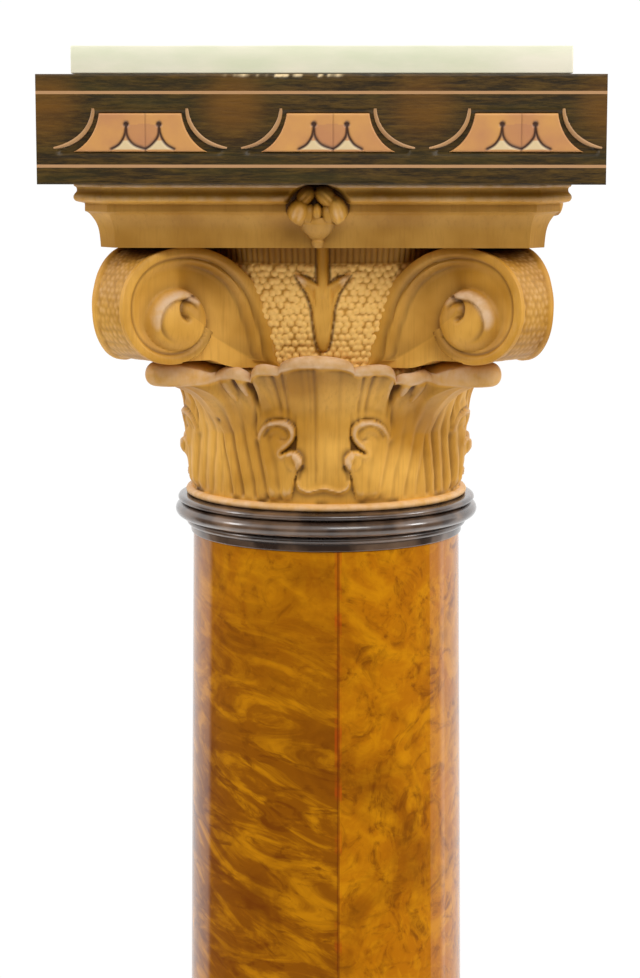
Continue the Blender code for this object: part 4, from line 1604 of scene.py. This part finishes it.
@dataclass
class Abacus:
    """The moulding between capital and board, square with cut corners."""

    cut: float = 17.7
    pocket_width: float = 17.6
    pocket_height: float = 12.4
    pocket_middle: float = 23.9
    pocket_aside: float = 2.2
    pocket_depth: float = 8.6
    profile: Path = (
        (-14.7, 0.0), (-14.4, 4.0), (-13.9, 8.6), (-13.0, 12.6), (-11.4, 16.2), (-9.0, 19.6),
        (-7.6, 20.8), (-6.4, 21.4), (-6.2, 22.4), (-6.2, 25.2), (-5.8, 26.2), (-3.0, 26.9),
        (-1.2, 27.5), (-0.2, 28.8), (0.0, 30.2), (-0.6, 31.6), (-1.7, 33.0), (-1.9, 34.4),
        (-1.5, 35.6), (-0.5, 36.2), (-0.2, 37.2), (-0.4, 38.0),
    )
    # Painted shade by height: the foot of the cove is darkest, and the fillet under the ovolo is darkened
    # too.
    shade_by_level: Path = (
        (0, 0.45), (6, 0.40), (12, 0.33), (19, 0.18), (21, 0.34), (24.6, 0.36), (26.4, 0.0),
    )

    def build(self, finish: Finish) -> None:
        """Builds the moulding in place of the plain solid.

        Args:
            finish: its finish.
        """
        low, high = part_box("abacus_moulding")
        half = high.x / MM
        profile = np.array(smooth_path(self.profile, 3))
        tall = (high.z - low.z) / MM
        profile[:, 1] *= tall / profile[-1, 1]
        reach = math.sqrt(2) * half - self.cut / math.sqrt(2)
        rows, sunk, worn = [], [], []
        for inset, level in profile:
            side = half + inset
            short = math.sqrt(2) * (reach + inset) - side
            left = np.linspace(-short, -21, 16)
            run = np.concatenate([left, np.linspace(-20, 20, 61), -left[::-1]])
            out = side - 0.05 * (1 + hand_wobble(run, 0 * run + level, 9.0))
            away = (level - self.pocket_middle) / self.pocket_height
            away = np.hypot((run + self.pocket_aside) / self.pocket_width, away)
            pocket = ease(1.12, 0.84, away)
            out = mix(out, np.minimum(out, half - self.pocket_depth), pocket)
            spots = np.stack([out, run, level + 0 * run], axis=-1)
            rows.append(np.concatenate([turned_to(spots, way) for way in Side]))
            # Painted shade on the moulding, taken from the table by height, and painted shade in the pocket
            # behind the flower.
            stain = np.interp(level, *zip(*self.shade_by_level))
            sunk.append(np.tile(np.maximum(stain, 0.7 * pocket), 4))
            # Painted highlight: a pale line along the top edge and a pale band on the ovolo, where light
            # catches them, kept off the pocket.
            edge = 0.9 * ease(0.93, 0.96, level / tall) + 0.45 * ridge(level / tall - 0.78, 0.06)
            worn.append(np.tile(edge * (1 - pocket), 4))
        points = np.array(rows) * MM
        points[..., 2] += low.z
        piece = Carving("abacus_moulding_carved")
        sunk, worn = (np.pad(np.array(marks), ((1, 1), (0, 0))) for marks in (sunk, worn))
        piece.grid(capped(points, low.z, high.z), wrap=True, hollow=sunk, wear=worn)
        made = piece.build(finish.material(), sharp=28)
        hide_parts("abacus_moulding")


@dataclass
class TopBoard:
    """The thick board with its strings and its frieze of eggs, in millimetres."""

    pitch: float = 103.9
    shift: float = 4.0
    fields: int = 3
    egg_half: float = 25.8
    egg_drop: float = 23.6
    egg_top: float = 18.0
    channel: float = 3.5
    panel_top: float = 21.4
    panel_foot: float = 42.6
    foot_narrowing: float = 2.6
    sunk: float = 1.5
    midline: float = 2.8
    stalks: tuple[float, float] = (10.6, 7.6)
    string_inset: float = 10.1
    crescent: float = 1.5
    crescent_sink: float = 0.04
    margin: float = 2.9

    def __post_init__(self) -> None:
        """Reads the board's place off the frame."""
        self.low, self.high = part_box("top_board")
        self.half = self.high.x / MM
        self.thick = (self.high.z - self.low.z) / MM

    def strings(self) -> tuple[float, float]:
        """Heights of the two strings in the frame, in metres."""
        return self.high.z - self.string_inset * MM, self.low.z + self.string_inset * MM

    def middles(self) -> list[float]:
        """Places of the panels from the middle of a side."""
        return [self.shift + self.pitch * (k - (self.fields - 1) / 2) for k in range(self.fields)]

    def panel_half(self, down: Field, extra: float) -> Field:
        """Half the width of a panel at a distance below the board's top.

        Args:
            down: distance below the board's top.
            extra: how far the egg's outline is let out.

        Returns:
            Half the width between the two eggs.
        """
        wide, tall = self.egg_half + extra, self.egg_drop + extra
        arc = np.sqrt(np.maximum(0, 1 - ((down - self.egg_top) / tall) ** 2))
        return self.pitch / 2 - wide * arc

    def place(self, x: Field, out: Field, down: Field, side: Side) -> Field:
        """Puts places on one side of the board into the frame.

        Args:
            x: distance to the right of the side's middle.
            out: distance in front of the side.
            down: distance below the board's top.
            side: which side it is.

        Returns:
            Points in metres.
        """
        y = np.broadcast_to(-(self.half + out), np.broadcast(x, down, out).shape)
        points = np.stack([x + 0 * y, y, self.high.z / MM - down + 0 * y], axis=-1) * MM
        return turned_to(points, side)

    def side_relief(self, x: Field, down: Field) -> tuple[Field, Field, Field]:
        """The sunk fields, channels and worn edges of one side.

        Args:
            x: distance to the right of the side's middle.
            down: distance below the board's top.

        Returns:
            How far the face stands out, how worn it is, and where the eggs' warm brown is.
        """
        relief = -0.25 - 0.08 * (1 + hand_wobble(x, down, 11.0))
        widest = self.panel_half(self.panel_foot - 1.4, 0.4)
        for middle in self.middles():
            gap = np.minimum(self.panel_half(down, 0.4), widest) - np.abs(x - middle)
            within = np.minimum(gap, np.minimum(down - self.panel_top + 0.8, self.panel_foot + 0.8 - down))
            relief = relief - self.sunk * ease(-0.6, 0.6, within)
        edge = np.minimum(down, self.thick - down)
        relief -= 0.5 * (1 - np.clip(edge / 0.8, 0, 1)) ** 2
        ragged = hand_wobble(x * 1.4 + 18, 0 * down, 4.0) + 0.6 * hand_wobble(x * 3.1, 0 * down + 3, 4.0)
        chips = np.clip(ragged - 0.05, 0, 1) * 2.4 * ridge(x + 16, 24.0) * (1 - ease(0.2, 2.0, down))
        egg = np.zeros_like(relief)
        for middle in (*self.middles(), self.middles()[-1] + self.pitch):
            across = (x - middle + self.pitch / 2) / (self.egg_half - 2)
            egg = np.maximum(egg, ease(1.1, 0.2, np.hypot(across, (down - self.egg_top) / self.egg_drop)))
        return relief - chips, np.clip(1.6 * chips, 0, 1), egg

    def body(self, finish: Finish) -> bpy.types.Object:
        """Builds the board itself.

        Args:
            finish: its finish.

        Returns:
            The new object.
        """
        piece = Carving("top_board_stained")
        between = np.linspace(2.0, self.thick - 2.0, 47)
        down = np.array([0, 0.5, 1.1, *between, self.thick - 0.7, self.thick])
        x = np.linspace(-1, 1, 250)[None] * (self.half - 0.4)
        ends = -0.4 * (1 - ease(0, 1.5, self.half - 0.4 - np.abs(x)))
        relief, wear, egg = self.side_relief(x, down[:, None])
        relief = np.minimum(relief, ends) * (ends > -0.39) - 0.4 * (ends <= -0.39)
        for side in Side:
            piece.grid(self.place(x, relief, down[:, None], side), flip=True, wear=wear, egg=egg)
        for row, level, flip in ((0, 0.0, False), (-1, self.thick, True)):
            edges = [self.place(x, relief[row], np.array([[level]]), side)[0] for side in Side]
            ring = np.concatenate(edges)[None]
            centre = np.zeros_like(ring)
            centre[..., 2] = self.high.z - level * MM
            inner = mix(centre, ring, 0.94)
            piece.grid(np.concatenate([ring, inner, centre]), wrap=True, flip=flip)
        return piece.build(finish.material(), sharp=40, weld=2e-5)

    def panels(self, finish: Finish, side: Side) -> bpy.types.Object:
        """Builds the inlaid panels of one side, with their cut lines.

        Args:
            finish: their finish.
            side: which side they are on.

        Returns:
            The new object.
        """
        piece = Carving(f"frieze_panels_{side.name.lower()}")
        down = np.linspace(self.panel_top, self.panel_foot, 40)[:, None]
        half = self.panel_half(down, self.channel)
        half -= self.foot_narrowing * ((down - self.panel_top) / (self.panel_foot - self.panel_top)) ** 2
        for middle in self.middles():
            across = np.linspace(-1, 1, 130)[None] * half
            x = across - self.midline
            groove = np.full(across.shape, 9.0)
            pale, rose = np.zeros(across.shape), np.zeros(across.shape)
            low = self.panel_foot - 1.6
            for mirror, dot in zip((-1, 1), self.stalks):
                u = x * mirror
                inner = ((dot, 28.0), (dot - 0.6, 34.0), (dot - 4.2, 38.6), (0.0, low))
                outer = ((dot, 28.0), (dot + 1.0, 33.6), (dot + 4.0, 38.4), (dot + 8.4, low))
                inner, outer = smooth_path(inner, 4), smooth_path(outer, 4)
                for path in (inner, outer):
                    groove = np.minimum(groove, path_distance(u, down, path))
                groove = np.minimum(groove, np.hypot(u - dot, down - 27.4) - 0.9)
                point = [*inner[6:], *outer[:5:-1]]
                pale = np.maximum(pale, inside(u, down, point) * 1.0)
                rose = np.maximum(rose, inside(u, down, [(0.0, 27.0), *inner]) * 0.5)
            line = ridge(np.maximum(groove - 0.15, 0), 0.72)
            split = ridge(x, 0.5)
            ends = np.minimum(down - self.panel_top, self.panel_foot - down)
            edge = np.minimum(half - np.abs(across), ends)
            out = -0.25 - 0.9 * line - 0.4 * split - 0.9 * (1 - np.clip(edge / 0.7, 0, 1)) ** 2
            face = self.place(middle + across, out, down, side)
            wall = self.place(middle + across, out * 0 - self.sunk - 0.6, down, side)
            dark = np.clip(line + 0.25 * split, 0, 1)
            piece.grid(face, flip=True, line=dark, pale=pale, rose=rose)
            rim = [
                np.concatenate([g[0], g[1:, -1], g[-1, -2::-1], g[-2:0:-1, 0]])[None]
                for g in (face, wall)
            ]
            rim.append(rim[1].mean(1, keepdims=True) + 0 * rim[1])
            piece.grid(np.concatenate(rim), wrap=True)
        return piece.build(finish.material(), sharp=60, weld=2e-5)

    def arcs(self, finish: Finish) -> bpy.types.Object:
        """Builds the light crescents along the edges of the eggs.

        Args:
            finish: their finish.

        Returns:
            The new object.
        """
        piece = Carving("frieze_arcs")
        wide = self.egg_half + 0.2
        ring = np.linspace(0, math.tau, 10, endpoint=False)
        for side in Side:
            for middle in self.middles():
                for mirror in (-1, 1):
                    room = self.half - self.margin - mirror * middle
                    last = math.acos(min(1.0, max(0.15, (self.pitch / 2 - room) / wide)))
                    turn = np.linspace(0.035, last, 40)
                    width = np.sin(np.linspace(0.12, 0.95, 40) * math.pi) ** 0.55 * self.crescent
                    x0 = self.pitch / 2 - wide * np.cos(turn)
                    z0 = self.egg_top + (self.egg_drop - 0.9) * np.sin(turn)
                    across = width[:, None] * np.cos(ring)
                    nx, nz = np.cos(turn), np.sin(turn)
                    x = mirror * (x0[:, None] + nx[:, None] * across)
                    down = z0[:, None] - nz[:, None] * across
                    out = -self.crescent_sink - 0.75 * (1 - np.sin(ring)) * width[:, None]
                    points = self.place(middle + x, out, down, side)
                    tips = [points[k].mean(0) + 0 * points[:1] for k in (0, -1)]
                    piece.grid(np.concatenate([tips[0], points, tips[1]]), wrap=True, flip=mirror > 0)
        return piece.build(finish.material())

    def build(self, board: Finish, inlay: Finish, light: Finish) -> None:
        """Builds the board, its panels and its crescents in place of the plain solid.

        Args:
            board: finish of the board.
            inlay: finish of the panels.
            light: finish of the crescents.
        """
        made = [self.body(board), self.arcs(light)]
        made += [self.panels(inlay, side) for side in Side]
        for piece in made:
            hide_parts("top_board")


@dataclass
class Block:
    """A square block with rounded edges, such as the slab, the plinth or the foot board."""

    node: str
    slot: str
    round_mm: float

    def build(self, finish: Finish) -> None:
        """Builds the block in place of its plain solid.

        Args:
            finish: its finish.
        """
        low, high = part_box(self.node)
        half = high.x / MM
        thick = (high.z - low.z) / MM
        r = self.round_mm
        arc = np.linspace(0, math.pi / 2, 5)
        foot = [(half - r + r * math.sin(a), r - r * math.cos(a)) for a in arc]
        head = [(half - r + r * math.cos(a), thick - r + r * math.sin(a)) for a in arc]
        rows = []
        for side, level in [*foot, *head]:
            ring = []
            for k in range(4):
                turn = math.radians(90 * k)
                run = [*np.linspace(-side + r, side - r, 12)]
                spots = [(side, y) for y in run]
                spots += [(side - r + r * math.cos(a), side - r + r * math.sin(a)) for a in arc[1:-1]]
                c, s = math.cos(turn), math.sin(turn)
                ring += [(x * c - y * s, x * s + y * c, level) for x, y in spots]
            rows.append(ring)
        points = np.array(rows) * MM
        points[..., 2] += low.z
        piece = Carving(f"{self.node}_finished")
        piece.grid(capped(points, low.z, high.z), wrap=True)
        made = piece.build(finish.material(), sharp=35)
        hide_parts(self.node)


def bead(radius: float, foot: float, top: float, overhang: float, steps: int = 12) -> Path:
    """Points of a half round moulding.

    Args:
        radius: where it starts.
        foot: its lowest height.
        top: its highest height.
        overhang: how far it stands out.
        steps: pieces of the half round.

    Returns:
        Radius and height of each point, from the foot up.
    """
    middle, half = (foot + top) / 2, (top - foot) / 2
    angles = np.linspace(-math.pi / 2, math.pi / 2, steps + 1)
    return [(radius + overhang * math.cos(a), middle + half * math.sin(a)) for a in angles]


@dataclass
class Column:
    """The turned pieces: neck ring, shaft and base moulding, in millimetres."""

    neck: float = 83.3
    foot: float = 89.5
    sides: int = 256

    def neck_ring(self, finish: Finish) -> None:
        """Builds the turned neck ring: low bead, fillet, torus and sloping upper bead.

        Args:
            finish: its finish.
        """
        low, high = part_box("neck_ring")
        tall = (high.z - low.z) / MM
        low_bead, torus, high_bead = 0.19 * tall, 0.395 * tall, 0.80 * tall
        profile = [
            (self.neck + 0.8, 0.0),
            (self.neck + 1.4, 0.6),
            (self.neck + 1.6, low_bead - 1.0),
            *bead(self.neck + 1.4, low_bead, torus - 0.2, 2.8),
            *bead(self.neck + 5.4, torus + 0.1, high_bead - 0.3, 5.6, 20),
            *bead(self.neck + 6.4, high_bead + 0.1, tall - 0.5, 3.0),
            (self.neck + 3.0, tall),
        ]
        made = turned("neck_ring_turned", profile, self.sides, low.z).build(finish.material(), sharp=40)
        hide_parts("neck_ring")

    def shaft(self, finish: Finish) -> None:
        """Builds the veneered shaft, with its slight swell.

        Args:
            finish: its finish.
        """
        low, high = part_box("shaft")
        tall = (high.z - low.z) / MM
        share = np.linspace(0, 1, 25)
        radius = mix(self.foot, self.neck, share) + 0.6 * np.sin(math.pi * share)
        profile = [(float(r), float(s) * tall) for r, s in zip(radius, share)]
        made = turned("shaft_veneered", profile, self.sides, low.z).build(finish.material())
        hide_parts("shaft")

    def base_moulding(self, finish: Finish) -> None:
        """Builds the turned base: torus, fillet, hollow and upper bead.

        Args:
            finish: its finish.
        """
        low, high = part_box("base_moulding")
        tall = (high.z - low.z) / MM
        torus, fillet, hollow = 0.50 * tall, 0.56 * tall, 0.76 * tall
        scoop = [
            (self.foot + 4.4 + 6.4 * (1 - math.sin(a)), mix(fillet, hollow, a / math.pi * 2))
            for a in np.linspace(0.1, 1.5, 9)
        ]
        profile = [
            *bead(self.foot + 12.0, 0.0, torus, 11.8, 24),
            (self.foot + 10.9, torus + 0.4),
            (self.foot + 10.8, fillet),
            *scoop,
            (self.foot + 4.6, hollow),
            *bead(self.foot + 0.4, hollow + 0.4, tall, 7.4, 14),
        ]
        made = turned("base_moulding_turned", profile, self.sides, low.z).build(finish.material(), sharp=40)
        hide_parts("base_moulding")

    def build(self, black: Finish, veneer: Finish) -> None:
        """Builds all turned pieces.

        Args:
            black: finish of the rings.
            veneer: finish of the shaft.
        """
        self.neck_ring(black)
        self.shaft(veneer)
        self.base_moulding(black)


@dataclass(frozen=True)
class Softbox:
    """A soft light: its place and its width and height in metres, and its power in watts."""

    name: str
    place: tuple[float, float, float]
    size: tuple[float, float]
    power: float


@dataclass
class Studio:
    """Floor, lights, sky and camera, in metres, degrees and pixels of the photograph."""

    distance: float = 1.551
    aside: float = 0.030
    below_top: float = 0.0305
    pitch: float = 8.844
    yaw: float = 1.25
    focal_px: float = 2500.0
    image_height: int = 978
    room: float = 0.02
    ceiling: float = 1.25
    ground: float = 0.9
    backdrop: float = 1.02
    floor_radius: float = 1.15
    aim: float = 0.95
    softboxes: tuple[Softbox, ...] = (
        Softbox("key", (0.7, -1.9, 2.5), (1.2, 0.8), 22),
        Softbox("window_left", (-2.1, -0.55, 1.75), (0.5, 0.7), 17),
        Softbox("window_right", (2.1, -0.55, 1.75), (0.5, 0.7), 17),
        Softbox("strip_far_right", (2.0, 0.75, 0.7), (0.8, 1.8), 2.4),
    )

    def camera(self, top: float) -> None:
        """Stands the camera where the photograph was taken.

        Args:
            top: height of the slab's top.
        """
        eye = bpy.data.objects.new("camera", bpy.data.cameras.new("camera"))
        bpy.context.scene.collection.objects.link(eye)
        eye.data.sensor_fit = "AUTO"
        eye.data.sensor_width = 36.0
        eye.data.lens = 36.0 * self.focal_px / self.image_height
        eye.data.clip_end = 50.0
        eye.location = (self.aside, -self.distance, top - self.below_top)
        eye.rotation_euler = (math.radians(90 - self.pitch), 0, math.radians(self.yaw))
        bpy.context.scene.camera = eye

    def hang(self, box: Softbox) -> None:
        """Hangs one soft light and turns it to the capital.

        Args:
            box: the light.
        """
        lamp = bpy.data.lights.new(box.name, "AREA")
        lamp.shape = "RECTANGLE"
        lamp.size, lamp.size_y = box.size
        lamp.energy = box.power
        hung = bpy.data.objects.new(box.name, lamp)
        bpy.context.scene.collection.objects.link(hung)
        hung.location = box.place
        way = Vector((0, 0, self.aim)) - Vector(box.place)
        hung.rotation_euler = way.to_track_quat("-Z", "Y").to_euler()

    def sky(self) -> None:
        """Makes the room: a white backdrop behind, a pale ceiling and a dimmer room in front."""
        sky = bpy.data.worlds.new("studio_room")
        sky.use_nodes = True
        tree = sky.node_tree
        place = add_node(tree, "ShaderNodeTexCoord").outputs["Generated"]
        way = add_node(tree, "ShaderNodeSeparateXYZ", {0: place})
        seen = add_node(tree, "ShaderNodeLightPath").outputs["Is Camera Ray"]
        light = add_node(
            tree,
            "ShaderNodeMix",
            {0: seen, 6: (self.room,) * 3 + (1,), 7: (self.backdrop,) * 3 + (1,)},
            data_type="RGBA",
        ).outputs[2]
        for key, low, high, level in (
            ("Z", 0.0, 0.4, self.ceiling),
            ("Z", -0.42, -0.58, self.ground),
            ("Y", 0.38, 0.50, self.backdrop),
        ):
            share = add_node(
                tree,
                "ShaderNodeMapRange",
                {"Value": way.outputs[key], "From Min": low, "From Max": high},
                interpolation_type="SMOOTHSTEP",
            )
            light = add_node(
                tree,
                "ShaderNodeMix",
                {0: share.outputs[0], 6: light, 7: (level,) * 3 + (1,)},
                data_type="RGBA",
            ).outputs[2]
        tree.links.new(light, tree.nodes["Background"].inputs["Color"])
        bpy.context.scene.world = sky

    def build(self, paper: Finish, top: float) -> None:
        """Builds the studio round the pedestal.

        Args:
            paper: the floor's finish.
            top: height of the slab's top.
        """
        mesh = bpy.data.meshes.new("studio_floor")
        turn = np.linspace(0, math.tau, 64, endpoint=False)
        rim = self.floor_radius * np.stack([np.cos(turn), np.sin(turn), 0 * turn], axis=-1)
        mesh.from_pydata(rim.tolist(), [], [tuple(range(len(turn)))])
        mesh.materials.append(paper.material())
        floor = bpy.data.objects.new("studio_floor", mesh)
        bpy.context.scene.collection.objects.link(floor)
        self.sky()
        for box in self.softboxes:
            self.hang(box)
        bpy.context.scene.view_settings.view_transform = "Standard"
        self.camera(top)


def main() -> None:
    """Builds and dresses every piece in order."""
    logging.basicConfig(level=logging.INFO, format="%(message)s")
    limewood = CarvedLimewood()
    black = EbonisedWood()
    burl = BurlVeneer()
    board = TopBoard()
    stained = StainedBoard(levels=board.strings())
    steps: list[tuple[str, Callable[[], None]]] = [
        ("capital", lambda: Capital().build(limewood)),
        ("abacus", lambda: Abacus().build(limewood)),
        ("board", lambda: board.build(stained, InlaidVeneer(), InlaidCrescents())),
        ("slab", lambda: Block("top_slab", "stone", 1.0).build(CreamOnyx())),
        ("column", lambda: Column().build(black, burl)),
        ("plinth", lambda: Block("plinth_block", "burl", 0.8).build(burl)),
        ("foot board", lambda: Block("foot_board", "black_wood", 3.0).build(black)),
    ]
    for corner in Corner:
        scroll = CornerScroll(corner)
        steps.append((f"scroll {corner.name.lower()}", lambda s=scroll: s.build(limewood)))
    for side in Side:
        flower = Flower(side)
        steps.append((f"flower {side.name.lower()}", lambda f=flower: f.build(limewood)))
    for name, step in steps:
        step()
        LOG.info("built %s", name)
    Studio().build(StudioPaper(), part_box("top_slab")[1].z)


if __name__ == "__main__":
    main()
